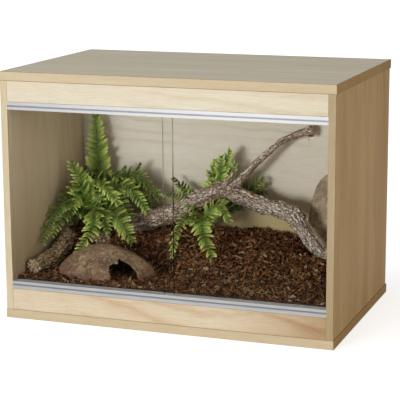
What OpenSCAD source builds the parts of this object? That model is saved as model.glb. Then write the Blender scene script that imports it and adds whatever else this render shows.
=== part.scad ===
// A furnished wooden vivarium: a flat-pack cabinet of faced boards with two sliding
// glass doors in double-channel runners, a recessed back, and its planted interior.
// Origin: middle of the underside. +X is to the right, +Y to the rear, +Z up.

/* [Cabinet] */
// Overall width, across the top and base panels
cab_w = 575; // [520:1:900]
// Overall depth, front to rear
cab_d = 370; // [350:1:480]
// Overall height
cab_h = 421; // [390:1:620]

/* [Boards] */
// Thickness of the top and base panels
panel_t = 15; // [14:0.5:22]
// Thickness of the two side panels
side_t = 12; // [12:0.5:16]
// How far each side panel stands in from the ends of the top and base
side_inset = 1; // [0:0.5:4]
// How far the sides stop short of the rear of the top and base
side_rear_short = 5; // [0:0.5:12]
// Thickness of the two fascia boards
fascia_t = 15; // [15:0.5:18]
// Height of the fascia above the doors
top_fascia_h = 35; // [32:1:60]
// Height of the fascia below the doors
base_fascia_h = 37; // [32:1:60]
// Thickness of the edging strip on each visible board edge
edging_t = 0.8; // [0.4:0.1:2]

/* [Runners] */
// Height of each runner's face between its fascia and the glass
runner_h = 13; // [12.5:0.1:16]
// Thickness of the front lip, which holds the decorative groove
front_lip_t = 2; // [1.8:0.1:2.6]
// Thickness of the middle and rear webs
web_t = 1.4; // [1.2:0.1:1.8]
// Thickness of the floor under a lower channel and the roof over an upper one
channel_floor_t = 1.4; // [1:0.1:1.8]
// Depth of the two lower channels
lower_channel_d = 6; // [5:0.1:6.5]
// Width of the groove along each runner's face
face_groove_w = 2.6; // [1:0.1:3.5]
// Depth of the groove along each runner's face
face_groove_d = 0.8; // [0.3:0.1:1]
// Height from the open edge of a runner to the middle of its groove
face_groove_pos = 6; // [4:0.1:7]
// Height of the fin that plugs a runner into its fascia
fin_h = 6.5; // [4:0.5:8]
// Thickness of that fin
fin_t = 1.6; // [1:0.1:2]

/* [Doors] */
// Thickness of each glass door
glass_t = 4; // [3:0.1:4.4]
// How far the closed doors overlap at the middle
door_overlap = 15; // [8:1:40]
// How far the middle of the overlap lies to the right of the cabinet's middle
overlap_offset = 7.5; // [-20:0.5:20]
// Clearance on each side of the glass in its channel
glass_side_gap = 0.55; // [0.2:0.05:0.8]
// Running clearance under the glass and at its outer end
glide_gap = 0.3; // [0.1:0.1:0.8]
// How far the closed glass reaches up into the upper runner
glass_grip = 4.5; // [3:0.1:5]
// Corner radius of the glass
glass_corner = 1.5; // [0.5:0.5:4]

/* [Back] */
// Thickness of the back panel
back_t = 6; // [5:0.5:9]
// Depth of the recess behind the back panel
rear_recess = 58.5; // [40:0.5:80]
// Depth of the grooves that hold the back panel
back_groove_d = 5; // [3:0.5:6]
// Clearance all round the back panel in its grooves
back_clear = 0.25; // [0.1:0.05:0.4]
// Diameter of each vent's hole in the back panel
vent_d = 50; // [40:1:52]
// Width of a vent's flange outside its hole
vent_lip = 4; // [3:0.5:6]
// Height of the vents and the cable outlet below the top panel
vent_drop = 61; // [40:1:80]
// Distance of the inner vents' centres from the cable outlet's
vent_from_outlet = 70.5; // [56:0.5:90]
// Distance of the outer vents' centres from the side panels
vent_from_side = 99; // [40:0.5:120]
// Bore of the cable outlet's grommet
cable_bore_d = 32; // [20:1:40]

/* [Fixings] */
// Distance of each cam's centre from the end of its board
cam_reach = 24; // [20:0.5:34]
// Diameter of each cam
cam_d = 12; // [10:0.5:12]
// Depth of each cam
cam_h = 9.2; // [8.5:0.1:10]
// Diameter of a cam bolt's threaded end
bolt_d = 5; // [4:0.5:6]
// Length of a cam bolt's threaded end
bolt_thread = 9; // [7:0.5:10]
// Diameter of the dowels
dowel_d = 6; // [5:0.5:6]
// Length of the dowels
dowel_l = 28; // [24:1:36]
// Distance of the front cams behind the front face
cam_front = 45; // [40:1:80]
// Distance of the rear cams from the rear edge of a side
cam_rear = 30; // [20:1:40]
// Distance of the front dowels behind the front cams
dowel_front = 32; // [20:1:50]
// Distance of the rear dowels in front of the back panel
dowel_rear = 55; // [20:1:80]
// Distance of a fascia's cams from the base or top panel
fascia_cam_up = 13; // [9:0.5:16]
// Distance of a fascia's dowels from the base or top panel
fascia_dowel_up = 23; // [20:0.5:26]

/* [Bedding] */
// Depth of the bark bedding along the front
bed_front = 53; // [40:1:55]
// Depth of the bark bedding along the back
bed_back = 99; // [70:1:110]
// Depth of the level bed under the cave hide
bed_hide = 52; // [45:1:62]
// Height of the ripples in the bedding
bed_ripple = 2.5; // [0:0.5:5]
// How far the bedding falls away in the right rear corner
bed_dip = 38; // [0:1:45]
// Number of large bark chips tried over the surface
chip_count = 56; // [20:1:120]
// Length of a large bark chip
chip_l = 17; // [10:1:24]
// Thickness of a large bark chip
chip_t = 2.6; // [1.5:0.1:4]
// Gap around everything that lies in the bedding
seat_gap = 0.3; // [0.1:0.1:0.6]

/* [Cave hide] */
// Length of the cave hide
hide_l = 178; // [130:1:184]
// Width of the cave hide, front to rear
hide_w = 104; // [80:1:108]
// Height of the cave hide
hide_h = 57; // [40:1:80]
// How steeply its flanks rise, from 0.6 for upright to 1.6 for gently sloping
hide_flank = 1.5; // [0.6:0.05:1.6]
// Wall thickness of the cave hide
hide_wall = 6; // [4:0.5:10]
// Distance of the hide's middle from the left wall
hide_from_left = 138; // [120:1:200]
// Distance of the hide's middle from the front of the bedding
hide_from_front = 62; // [56:1:90]
// Width of the doorway at its foot
hide_door_w = 44; // [30:1:50]
// Height of the doorway's broken peak
hide_door_h = 38; // [20:1:44]
// Direction that the doorway faces
hide_door_turn = -40; // [-70:1:-20]

/* [Branch] */
// Extra thickness of the bark over the whole branch
branch_extra = 0; // [-2:0.5:2]
// Roughness of the bark, as a share of the limb's radius
branch_rough = 0.09; // [0:0.01:0.15]

/* [Cork log and rock slab] */
// Radius of the cork log
log_r = 16; // [12:0.5:20]
// Length of the cork log
log_l = 124; // [80:1:150]
// Distance of its near end from the left wall
log_from_left = 17; // [17:1:60]
// Distance of its near end from the front of the bedding
log_from_front = 30; // [20:1:80]
// How deep it lies in the bedding
log_sink = 3.5; // [2:0.5:10]
// Width of the rock slab
slab_w = 114; // [80:1:130]
// Height of the rock slab above its foot
slab_h = 176; // [120:1:200]
// Thickness of the rock slab
slab_t = 34; // [24:1:44]
// Height of the slab's foot above the base panel
slab_foot = 40; // [20:1:50]

/* [Ferns] */
// Width of the widest fronds
frond_w = 40; // [24:1:48]
// Leaf pairs along a frond
frond_pairs = 13; // [8:1:16]
// Thickness of a frond along its rib
frond_t = 1.6; // [1:0.1:2.4]
// Distance of the left fern from the left wall
fern_from_left = 74; // [60:1:100]
// Distance of the left fern from the back panel
fern_from_back = 92; // [60:1:120]
// Distance of the centre fern left of the cabinet's middle
centre_fern_off = 18; // [0:1:40]
// Distance of the centre fern from the back panel
centre_fern_back = 22; // [16:1:40]
// Diameter of the stake that holds each fern in the bedding
stake_d = 7; // [5:0.5:10]
// Depth of the stake in the bedding
stake_depth = 30; // [20:1:36]
// Height of the fern's crown above the bedding
crown_h = 12; // [8:1:20]

/* [Hidden] */
$fn = 48;
eps = 0.01;

// Faces and heights of the cabinet
front_y = -cab_d / 2;
rear_y = cab_d / 2;
side_rear_y = rear_y - side_rear_short;
side_x = cab_w / 2 - side_inset;
in_x = side_x - side_t;
floor_z = panel_t;
ceil_z = cab_h - panel_t;
fascia_y1 = front_y + fascia_t;
back_y = side_rear_y - rear_recess - back_t;

// Door opening
sill_z = floor_z + base_fascia_h;
head_z = ceil_z - top_fascia_h;
open_z0 = sill_z + runner_h;
open_z1 = head_z - runner_h;

// Channels and glass
channel_w = glass_t + 2 * glass_side_gap;
front_channel_y = front_y + front_lip_t;
rear_channel_y = front_channel_y + channel_w + web_t;
runner_t = front_lip_t + 2 * channel_w + 2 * web_t;
tank_y0 = max(fascia_y1, front_y + runner_t);
lower_floor_z = open_z0 - lower_channel_d;
glass_z0 = lower_floor_z + glide_gap;
glass_z1 = open_z1 + glass_grip;
left_door_w = in_x - glide_gap + overlap_offset + door_overlap / 2;
right_door_w = in_x - glide_gap - overlap_offset + door_overlap / 2;
fin_y = front_y + fascia_t / 2;
fin_barb = 0.35;
fin_slot_t = fin_t + 2 * fin_barb + 0.2;
fin_slot_h = fin_h + 0.5;

// Back panel, vents and cable outlet
groove_t = back_t + 2 * back_clear;
vent_z = ceil_z - vent_drop;
vent_wall = 2.4;
vent_fit = 0.2;
vent_flange_t = 2;
vent_slats = 6;
slat_t = 1.2;
slat_reach = 8;
slat_tilt = 38;
grommet_lip = 4;
grommet_wall = 2.9;
grommet_fit = 0.1;
grommet_flange_t = 2;
cable_hole_r = cable_bore_d / 2 + grommet_wall + grommet_fit;

// Fixings: the bolt's axis lies half a side's thickness below the cam's face
fix_x = side_x - side_t / 2;
cam_axis_d = side_t / 2;
bore_spare = 0.5;
cam_fit = 0.1;
cam_rim = 1.7;
cam_recess = 0.2;
cam_slot_w = 1.2;
bolt_fit = 0.1;
neck_r = 2;
neck_fit = 0.4;
collar_r = 3.3;
neck_hole_r = 3.5;
bolt_head_r = 3;
dowel_fit = 0.1;
dowel_chamfer = 0.6;
dowel_in_panel = (dowel_l - 8) / 2;
dowel_in_side = 8.5;
fascia_fix_y = fascia_y1 - cam_axis_d;
cam_ys = [front_y + cam_front, side_rear_y - cam_rear];
dowel_ys = [cam_ys[0] + dowel_front, back_y - dowel_rear];
fascia_cam_z = [floor_z + fascia_cam_up, ceil_z - fascia_cam_up];
fascia_dowel_z = [floor_z + fascia_dowel_up, ceil_z - fascia_dowel_up];

// Bedding: a grid of heights over the floor of the tank
bed_nx = 30;
bed_ny = 15;
pad_rim = 28;
chip_tilt = 14;
dip_reach = 130;
bed_x = in_x - seat_gap;
bed_y0 = tank_y0 + seat_gap;
bed_y1 = back_y - seat_gap;
hide_x = -in_x + hide_from_left;
hide_y = tank_y0 + hide_from_front;
hide_z = floor_z + bed_hide;

// The branch's points are [along, back, up, radius]: along from the tank's middle,
// back from the back panel's face, and up from the bedding's depth at the back
branch_z = floor_z + bed_back;
stem_pts = [[-172, -66, -6, 17], [-137, -66, 13, 19], [-102, -64, 23, 18], [-66, -62, 37, 17],
    [-23, -60, 62, 16.5], [14, -59, 80, 15.5], [42, -60, 84, 14]];
thick_pts = [[30, -60, 80, 15], [69, -61, 66, 15.5], [108, -64, 56, 15], [140, -70, 52.5, 15.5],
    [160, -76, 41, 16.5], [178, -84, 18, 13], [199, -94, -2, 12], [224, -104, -20, 11]];
thin_pts = [[38, -60, 84, 10], [60, -54, 111, 7], [87, -46, 139, 6.5], [117, -36, 167, 6],
    [142, -28, 180, 6.5], [161, -23, 186, 7.5], [170, -21, 188, 6]];
stub_pts = [[22, -66, 84, 7], [34, -70, 102, 5.5], [46, -74, 119, 4]];

// Cork log: it points back along the left wall
log_x = -in_x + log_from_left;
log_y = tank_y0 + log_from_front;
log_turn = 84;

// Rock slab: against the back panel, from the right wall
slab_x = in_x - slab_w / 2 - 2;
slab_y = back_y - slab_t / 2 - seat_gap;
slab_z = floor_z + slab_foot;

// Ferns: a frond is [middle, tip, share of the full width], from its own crown
left_crown = [-in_x + fern_from_left, back_y - fern_from_back];
left_fronds = [
    [[-9, 14, 115], [-22, 16, 208], 1],
    [[-21, -8, 85], [-50, -18, 122], 0.85],
    [[-50, -54, 58], [-58, -122, 6], 0.9],
    [[0, -48, 58], [-4, -84, -14], 0.95],
    [[42, 36, 92], [90, 58, 48], 0.85],
    [[44, 2, 86], [94, -8, 44], 0.9],
    [[41, -18, 42], [78, -44, 0], 0.8],
    [[10, 26, 86], [32, 36, 117], 0.7],
    [[28, 32, 83], [57, 52, 121], 0.7],
    [[-36, -20, 72], [-60, -46, 40], 0.85]];
centre_crown = [-centre_fern_off, back_y - centre_fern_back];
centre_fronds = [
    [[-22, -48, 8], [-22, -130, -20], 0.75],
    [[13, -74, 14], [54, -144, -14], 0.95],
    [[27, -44, 36], [65, -70, 28], 0.8],
    [[-36, -4, 56], [-72, -4, 79], 0.6],
    [[9, -4, 72], [39, -6, 141], 0.75],
    [[0, -6, 66], [9, -10, 122], 0.7],
    [[50, 2, 66], [82, 2, 91], 0.75],
    [[64, 2, 56], [98, 2, 74], 0.6],
    [[-54, -6, 46], [-94, -6, 30], 0.7]];

// Curves and blends
function unit(v) = v / norm(v);
function xyz(p) = [p[0], p[1], p[2]];
function mix(a, b, t) = a + (b - a) * t;
function ease(t) = let (u = max(0, min(1, t))) u * u * (3 - 2 * u);
function mean(pts) = [for (k = [0:2]) [for (p = pts) p[k]] * [for (p = pts) 1] / len(pts)];

// A smooth curve through points, with a number of steps between each two
function curve_at(p, i, t) =
    let (a = p[max(i - 1, 0)], b = p[i], c = p[i + 1], d = p[min(i + 2, len(p) - 1)])
    0.5 * (2 * b + (c - a) * t + (2 * a - 5 * b + 4 * c - d) * t * t
        + (3 * b - a - 3 * c + d) * t * t * t);
function curve(p, steps) = concat(
    [for (i = [0:len(p) - 2]) for (k = [0:steps - 1]) curve_at(p, i, k / steps)],
    [p[len(p) - 1]]);

// Direction of travel at point i of a path
function heading(c, i) = unit(xyz(c[min(i + 1, len(c) - 1)]) - xyz(c[max(i - 1, 0)]));

// A closed skin over rings of points, each running anticlockwise about the way of travel
module skin(rings) {
    n = len(rings);
    m = len(rings[0]);
    points = concat([for (r = rings) for (p = r) p], [mean(rings[0])], [mean(rings[n - 1])]);
    walls = [for (i = [0:n - 2]) for (j = [0:m - 1])
        let (k = (j + 1) % m, a = i * m + j, b = i * m + k, c = b + m, d = a + m)
        each [[a, d, c], [a, c, b]]];
    foot = [for (j = [0:m - 1]) [n * m, j, (j + 1) % m]];
    crown = [for (j = [0:m - 1]) [n * m + 1, (n - 1) * m + (j + 1) % m, (n - 1) * m + j]];
    polyhedron(points, concat(walls, foot, crown), convexity = 8);
}

// A rough limb through points [x, y, z, radius]; grow thickens and lengthens it
module limb(pts, steps, sides, rough, grow) {
    c = curve(pts, steps);
    n = len(c);
    skin([for (i = [0:n - 1])
        let (t = heading(c, i), u = unit(cross(t, [0, -1, 0.2])), v = cross(t, u),
            reach = i == 0 ? -grow : i == n - 1 ? grow : 0)
        [for (j = [0:sides - 1])
            let (a = 360 * j / sides, lump = sin(i * 97 + j * 151) * 0.6 + sin(i * 40 + j * 80) * 0.4,
                r = c[i][3] * (1 + rough * lump) + grow)
            xyz(c[i]) + reach * t + r * cos(a) * u + r * sin(a) * v]]);
}

// Board parts

module board_box(x0, x1, y0, y1, z0, z1) {
    translate([x0, y0, z0]) cube([x1 - x0, y1 - y0, z1 - z0]);
}

// The holes of one end panel, drawn in the face that meets the sides, pointing up
module panel_holes() {
    for (s = [-1, 1]) {
        for (y = cam_ys)
            translate([s * fix_x, y, -eps])
                cylinder(r = bolt_d / 2 + bolt_fit, h = bolt_thread + bore_spare + eps);
        for (y = dowel_ys)
            translate([s * fix_x, y, -eps])
                cylinder(r = dowel_d / 2 + dowel_fit, h = dowel_in_panel + bore_spare + eps);
    }
    translate([-in_x - back_groove_d, back_y - back_clear, -eps])
        cube([2 * (in_x + back_groove_d), groove_t, back_groove_d + eps]);
}

module end_panel() {
    board_box(-cab_w / 2 + edging_t, cab_w / 2 - edging_t,
        front_y + edging_t, rear_y - edging_t, 0, panel_t);
}

module base_panel() {
    color("#E2D3B4") difference() {
        end_panel();
        translate([0, 0, floor_z]) mirror([0, 0, 1]) panel_holes();
    }
}

module top_panel() {
    color("#E2D3B4") difference() {
        translate([0, 0, ceil_z]) end_panel();
        translate([0, 0, ceil_z]) panel_holes();
    }
}

// Four strips round the edges of a top or base panel
module panel_edging() {
    for (y = [front_y, rear_y - edging_t])
        board_box(-cab_w / 2, cab_w / 2, y, y + edging_t, 0, panel_t);
    for (x = [-cab_w / 2, cab_w / 2 - edging_t])
        board_box(x, x + edging_t, front_y + edging_t, rear_y - edging_t, 0, panel_t);
}

module base_edging() {
    color("#EADCC0") panel_edging();
}

module top_edging() {
    color("#EADCC0") translate([0, 0, ceil_z]) panel_edging();
}

module side_edging() {
    color("#EADCC0") for (x = [-side_x, side_x - side_t])
        board_box(x, x + side_t, front_y, front_y + edging_t, floor_z, ceil_z);
}

// Cam pocket in a face at x = 0 that looks along -X, with the neck bore up to the
// board's end, which lies cam_reach above
module cam_cut() {
    translate([-eps, 0, 0]) rotate([0, 90, 0])
        cylinder(r = cam_d / 2 + cam_fit, h = cam_h + 2 * cam_recess + eps);
    translate([cam_axis_d, 0, 0]) cylinder(r = neck_hole_r, h = cam_reach + eps);
}

// Cam: an open cup whose rim hooks behind the bolt's head, with a cross in its face
module cam() {
    translate([cam_recess, 0, 0]) difference() {
        rotate([0, 90, 0]) cylinder(r = cam_d / 2, h = cam_h);
        translate([cam_axis_d - bolt_head_r - cam_recess - neck_fit, 0, 0]) rotate([0, 90, 0])
            cylinder(r = cam_d / 2 - cam_rim, h = cam_h);
        translate([cam_axis_d - cam_recess, 0, 0]) cylinder(r = neck_r + neck_fit, h = cam_d);
        for (a = [0, 90]) rotate([a, 0, 0])
            translate([-eps, -cam_slot_w / 2, -cam_d / 3])
                cube([cam_slot_w + cam_recess, cam_slot_w, cam_d * 2 / 3]);
    }
}

// Bolt: thread above the joint face, which lies cam_reach above the cam's centre
module cam_bolt() {
    translate([cam_axis_d, 0, 0]) rotate_extrude()
        polygon([[0, -1], [bolt_head_r, -1], [bolt_head_r, 1], [neck_r, 2],
            [neck_r, cam_reach - 3], [collar_r, cam_reach - 2], [collar_r, cam_reach],
            [bolt_d / 2, cam_reach], [bolt_d / 2, cam_reach + bolt_thread - 1],
            [bolt_d / 2 - 1, cam_reach + bolt_thread], [0, cam_reach + bolt_thread]]);
}

// Places a cam's parts at the ends of both sides
module at_side_cams() {
    for (s = [0, 1]) mirror([s, 0, 0]) for (y = cam_ys) {
        translate([in_x, y, ceil_z - cam_reach]) children();
        translate([in_x, y, floor_z + cam_reach]) mirror([0, 0, 1]) children();
    }
}

// Places a cam's parts at the ends of both fascias
module at_fascia_cams() {
    for (s = [0, 1]) mirror([s, 0, 0]) for (z = fascia_cam_z)
        translate([in_x - cam_reach, fascia_y1, z])
            rotate([0, 90, 0]) rotate([0, 0, -90]) children();
}

module dowel() {
    r = dowel_d / 2;
    c = dowel_chamfer;
    rotate_extrude() polygon([[0, 0], [r - c, 0], [r, c], [r, dowel_l - c], [r - c, dowel_l],
        [0, dowel_l]]);
}

module dowel_cut(depth) {
    translate([0, 0, -eps]) cylinder(r = dowel_d / 2 + dowel_fit, h = depth + eps);
}

// The right side panel; the left one mirrors it
module side_panel() {
    difference() {
        board_box(in_x, side_x, front_y + edging_t, side_rear_y, floor_z, ceil_z);
        board_box(in_x - eps, in_x + back_groove_d, back_y - back_clear,
            back_y + back_t + back_clear, floor_z - eps, ceil_z + eps);
        for (y = cam_ys) {
            translate([in_x, y, ceil_z - cam_reach]) cam_cut();
            translate([in_x, y, floor_z + cam_reach]) mirror([0, 0, 1]) cam_cut();
        }
        for (y = dowel_ys) {
            translate([fix_x, y, ceil_z]) mirror([0, 0, 1])
                dowel_cut(dowel_l - dowel_in_panel + bore_spare);
            translate([fix_x, y, floor_z]) dowel_cut(dowel_l - dowel_in_panel + bore_spare);
        }
        for (z = fascia_cam_z)
            translate([in_x - eps, fascia_fix_y, z]) rotate([0, 90, 0])
                cylinder(r = bolt_d / 2 + bolt_fit, h = bolt_thread + bore_spare + eps);
        for (z = fascia_dowel_z)
            translate([in_x, fascia_fix_y, z]) rotate([0, 90, 0])
                dowel_cut(dowel_in_side + bore_spare);
    }
}

module left_side() {
    color("#DCCBA8") mirror([1, 0, 0]) side_panel();
}

module right_side() {
    color("#C9AE80") side_panel();
}

// A fascia board between z0 and z1, with its fin slot open at slot_z
module fascia(z0, z1, slot_z, cam_z, dowel_z) {
    difference() {
        board_box(-in_x, in_x, front_y, fascia_y1, z0, z1);
        translate([-in_x - eps, fin_y - fin_slot_t / 2, slot_z - fin_slot_h])
            cube([2 * (in_x + eps), fin_slot_t, 2 * fin_slot_h]);
        for (s = [0, 1]) mirror([s, 0, 0]) {
            translate([in_x - cam_reach, fascia_y1, cam_z])
                rotate([0, 90, 0]) rotate([0, 0, -90]) cam_cut();
            translate([in_x, fascia_fix_y, dowel_z]) rotate([0, -90, 0])
                dowel_cut(dowel_l - dowel_in_side + bore_spare);
        }
    }
}

module top_fascia() {
    color("#E6D8BC") fascia(head_z, ceil_z, head_z, fascia_cam_z[1], fascia_dowel_z[1]);
}

module base_fascia() {
    color("#DECDA9") fascia(floor_z, sill_z, sill_z, fascia_cam_z[0], fascia_dowel_z[0]);
}

module cam_bolts() {
    color("silver") {
        at_side_cams() cam_bolt();
        at_fascia_cams() cam_bolt();
    }
}

module cam_locks() {
    color("gray") {
        at_side_cams() cam();
        at_fascia_cams() cam();
    }
}

module dowels() {
    color("burlywood") for (s = [0, 1]) mirror([s, 0, 0]) {
        for (y = dowel_ys) {
            translate([fix_x, y, ceil_z + dowel_in_panel - dowel_l]) dowel();
            translate([fix_x, y, floor_z - dowel_in_panel]) dowel();
        }
        for (z = fascia_dowel_z)
            translate([in_x + dowel_in_side - dowel_l, fascia_fix_y, z]) rotate([0, 90, 0]) dowel();
    }
}

// Runners: a front lip, two channels between webs, and a barbed fin for the fascia.
// The profile is drawn [back from the front face, up from the open edge]
module runner_profile(channel_d) {
    union() {
        difference() {
            square([runner_t, runner_h]);
            for (y = [front_lip_t, front_lip_t + channel_w + web_t])
                translate([y, -1]) square([channel_w, channel_d + 1]);
            translate([-1, face_groove_pos - face_groove_w / 2])
                square([1 + face_groove_d, face_groove_w]);
        }
        translate([fascia_t / 2, runner_h - channel_floor_t / 2])
            barbed_fin(fin_h + channel_floor_t / 2);
    }
}

// The fin has a flexible barb near its tip
module barbed_fin(h) {
    half = fin_t / 2;
    polygon([[-half, 0], [-half, h - 2.6], [-half - fin_barb, h - 1.8], [-half, h],
        [half, h], [half + fin_barb, h - 1.8], [half, h - 2.6], [half, 0]]);
}

// Upper runner: deep channels, so that a door lifts in before it drops on its floor
module upper_profile() {
    runner_profile(runner_h - channel_floor_t);
}

// Lower runner: shallow channels over a hollow sole with a middle rib
module lower_profile() {
    sole_h = runner_h - lower_channel_d - 2 * channel_floor_t;
    sole_w = (runner_t - front_lip_t - 2 * web_t) / 2;
    difference() {
        runner_profile(lower_channel_d);
        for (y = [front_lip_t, front_lip_t + sole_w + web_t])
            translate([y, lower_channel_d + channel_floor_t]) square([sole_w, sole_h]);
    }
}

// Stretches a profile across the opening, upright or turned over
module runner_bar(open_z, turn) {
    translate([-in_x, front_y, open_z]) mirror([0, 0, turn])
        rotate([90, 0, 90]) linear_extrude(2 * in_x) children();
}

module upper_runner() {
    color("#D8D9DA") runner_bar(open_z1, 0) upper_profile();
}

module lower_runner() {
    color("#D8D9DA") runner_bar(open_z0, 1) lower_profile();
}

// A glass door with rounded corners, its left edge at x0
module glass_door(x0, door_w, channel_y) {
    w = door_w - 2 * glass_corner;
    h = glass_z1 - glass_z0 - 2 * glass_corner;
    color([0.8, 0.92, 0.9, 0.25])
        translate([x0, channel_y + glass_side_gap + glass_t, glass_z0]) rotate([90, 0, 0])
            linear_extrude(glass_t) translate([glass_corner, glass_corner]) union() {
                translate([-glass_corner, 0]) square([door_w, h]);
                translate([0, -glass_corner]) square([w, h + 2 * glass_corner]);
                for (x = [0, w]) for (z = [0, h]) translate([x, z]) circle(glass_corner);
            }
}

module left_door() {
    glass_door(-in_x + glide_gap, left_door_w, rear_channel_y);
}

module right_door() {
    glass_door(in_x - glide_gap - right_door_w, right_door_w, front_channel_y);
}

// Back panel, with its vents in a row under the top panel and the cable outlet between
vent_xs = [vent_from_side - in_x, -vent_from_outlet, vent_from_outlet, in_x - vent_from_side];

module back_panel() {
    over = back_groove_d - 2 * back_clear;
    color("#D2C4A6") difference() {
        board_box(-in_x - over, in_x + over, back_y, back_y + back_t,
            floor_z - over, ceil_z + over);
        for (x = vent_xs)
            translate([x, back_y - 1, vent_z]) rotate([-90, 0, 0])
                cylinder(d = vent_d, h = back_t + 2);
        translate([0, back_y - 1, vent_z]) rotate([-90, 0, 0])
            cylinder(r = cable_hole_r, h = back_t + 2);
    }
}

// A push-in vent: barrel in the panel, flange behind it, and sloping slats across
module vent(i) {
    barrel_r = vent_d / 2 - vent_fit;
    bore_r = barrel_r - vent_wall;
    deep = back_t + back_clear + vent_flange_t;
    translate([vent_xs[i], back_y, vent_z]) union() {
        difference() {
            union() {
                rotate([-90, 0, 0]) cylinder(r = barrel_r, h = deep);
                translate([0, back_t + back_clear, 0]) rotate([-90, 0, 0])
                    cylinder(r = vent_d / 2 + vent_lip, h = vent_flange_t);
            }
            translate([0, -1, 0]) rotate([-90, 0, 0]) cylinder(r = bore_r, h = deep + 2);
        }
        intersection() {
            rotate([-90, 0, 0]) cylinder(r = bore_r + vent_wall / 4, h = deep);
            for (k = [0:vent_slats - 1])
                translate([-vent_d / 2, slat_t / 2,
                        (k - (vent_slats - 1) / 2) * 2 * bore_r / vent_slats])
                    rotate([-slat_tilt, 0, 0]) cube([vent_d, slat_reach, slat_t]);
        }
    }
}

module vent_outer_left() {
    color("#2B2B2B") vent(0);
}

module vent_inner_left() {
    color("#2B2B2B") vent(1);
}

module vent_inner_right() {
    color("#2B2B2B") vent(2);
}

module vent_outer_right() {
    color("#2B2B2B") vent(3);
}

// A grommet that grips both faces of the back panel
module cable_grommet() {
    bore_r = cable_bore_d / 2;
    neck = bore_r + grommet_wall;
    lip_r = neck + grommet_lip;
    y0 = -grommet_fit;
    y1 = back_t + grommet_fit;
    color("#232323") translate([0, back_y, vent_z]) rotate([-90, 0, 0]) rotate_extrude()
        polygon([[bore_r, y0 - grommet_flange_t], [lip_r - 1, y0 - grommet_flange_t],
            [lip_r, y0 - grommet_flange_t + 1], [lip_r, y0], [neck, y0], [neck, y1], [lip_r, y1],
            [lip_r, y1 + grommet_flange_t - 1], [lip_r - 1, y1 + grommet_flange_t],
            [bore_r, y1 + grommet_flange_t]]);
}

// How far a point lies from the hide's middle, where 1 is its edge and a rim round it
function hide_reach(x, y, rim) =
    norm([(x - hide_x) / (hide_l / 2 + rim), (y - hide_y) / (hide_w / 2 + rim)]);

// Bedding: rises from the front, ripples, falls away in the right rear corner,
// and is level where the cave hide stands
function bed_depth(x, y) =
    let (t = (y - bed_y0) / (bed_y1 - bed_y0),
        slope = mix(bed_front, bed_back, 1 - pow(1 - t, 1.6)),
        ripple = bed_ripple * (sin(x * 4.1 + y * 1.3) + sin(y * 5.3 - x * 1.7)) * ease(t * 3),
        dip = bed_dip * ease((x - in_x + dip_reach) / 55) * ease((y - back_y + dip_reach) / 60),
        near = hide_reach(x, y, pad_rim))
    mix(bed_hide, slope + ripple - dip, ease((near - 1) / 0.45));
function bed_z(x, y) = floor_z + bed_depth(x, y);

module bed_body() {
    nx = bed_nx + 1;
    xs = [for (i = [0:bed_nx]) mix(-bed_x, bed_x, i / bed_nx)];
    ys = [for (j = [0:bed_ny]) mix(bed_y0, bed_y1, j / bed_ny)];
    z0 = floor_z;
    tops = [for (y = ys) for (x = xs) [x, y, bed_z(x, y)]];
    foot = [[-bed_x, bed_y0, z0], [bed_x, bed_y0, z0], [bed_x, bed_y1, z0], [-bed_x, bed_y1, z0]];
    f = len(tops);
    skin_top = [for (j = [0:bed_ny - 1]) for (i = [0:bed_nx - 1])
        let (a = j * nx + i, b = a + 1, c = b + nx, d = a + nx)
        each [[a, d, b], [b, d, c]]];
    front = concat([for (i = [0:bed_nx]) i], [f + 1, f]);
    rear = concat([for (i = [bed_nx:-1:0]) bed_ny * nx + i], [f + 3, f + 2]);
    left = concat([for (j = [bed_ny:-1:0]) j * nx], [f, f + 3]);
    right = concat([for (j = [0:bed_ny]) j * nx + bed_nx], [f + 2, f + 1]);
    polyhedron(concat(tops, foot), concat(skin_top,
        [front, rear, left, right, [f, f + 1, f + 2, f + 3]]), convexity = 8);
}

// A flat flake of bark with a bevelled upper face
module chip(l, w, t) {
    hull() {
        translate([-l / 2, -w / 2, -t]) cube([l, w, 1.4 * t]);
        translate([-l / 3, -w / 4, 0]) cube([l * 0.6, w * 0.55, t]);
    }
}

// The share of a range that pass k of an evenly scattering series takes
function share(k, step) = (k * step) % 1;

// The larger chips lie about on the bedding, clear of the hide, the log and the slab
module bark_chips() {
    for (k = [1:chip_count]) {
        x = (2 * share(k, 0.7549) - 1) * (bed_x - chip_l);
        y = mix(bed_y0 + chip_l, bed_y1 - chip_l, share(k, 0.5698));
        l = chip_l * (0.7 + 0.6 * share(k, 0.381));
        at_hide = hide_reach(x, y, chip_l) < 1;
        at_log = x < log_x + log_r + 1.5 * chip_l && abs(y - log_y - log_l / 2) < log_l / 2 + 1.5 * chip_l;
        at_slab = x > slab_x - slab_w / 2 - chip_l && y > slab_y - slab_t / 2 - chip_l;
        if (!at_hide && !at_log && !at_slab)
            translate([x, y, bed_z(x, y)])
                rotate([chip_tilt * sin(k * 77), chip_tilt * cos(k * 131), k * 137.5])
                    chip(l, l / 2, chip_t);
    }
}

module bark_bedding() {
    color("#5A3D2A") difference() {
        union() {
            bed_body();
            bark_chips();
        }
        branch_body(seat_gap);
        log_body(seat_gap);
        slab_body(seat_gap);
        for (c = [left_crown, centre_crown]) stake(c, seat_gap);
    }
}

// Cave hide: a low rough dome, open below, with a broken-edged doorway
module dome(grow, sink) {
    a = hide_l / 2 + grow;
    b = hide_w / 2 + grow;
    h = hide_h + grow;
    rows = 8;
    sides = 32;
    skin([for (k = [0:rows])
        let (el = 88 * k / rows, f = pow(cos(el), hide_flank), z = k == 0 ? -sink : h * sin(el))
        [for (j = [0:sides - 1])
            let (az = 360 * j / sides,
                lump = 1 + 0.035 * sin(3 * az + 50) + 0.02 * sin(7 * az + el * 3))
            [a * f * lump * cos(az), b * f * lump * sin(az), z]]]);
}

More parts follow.
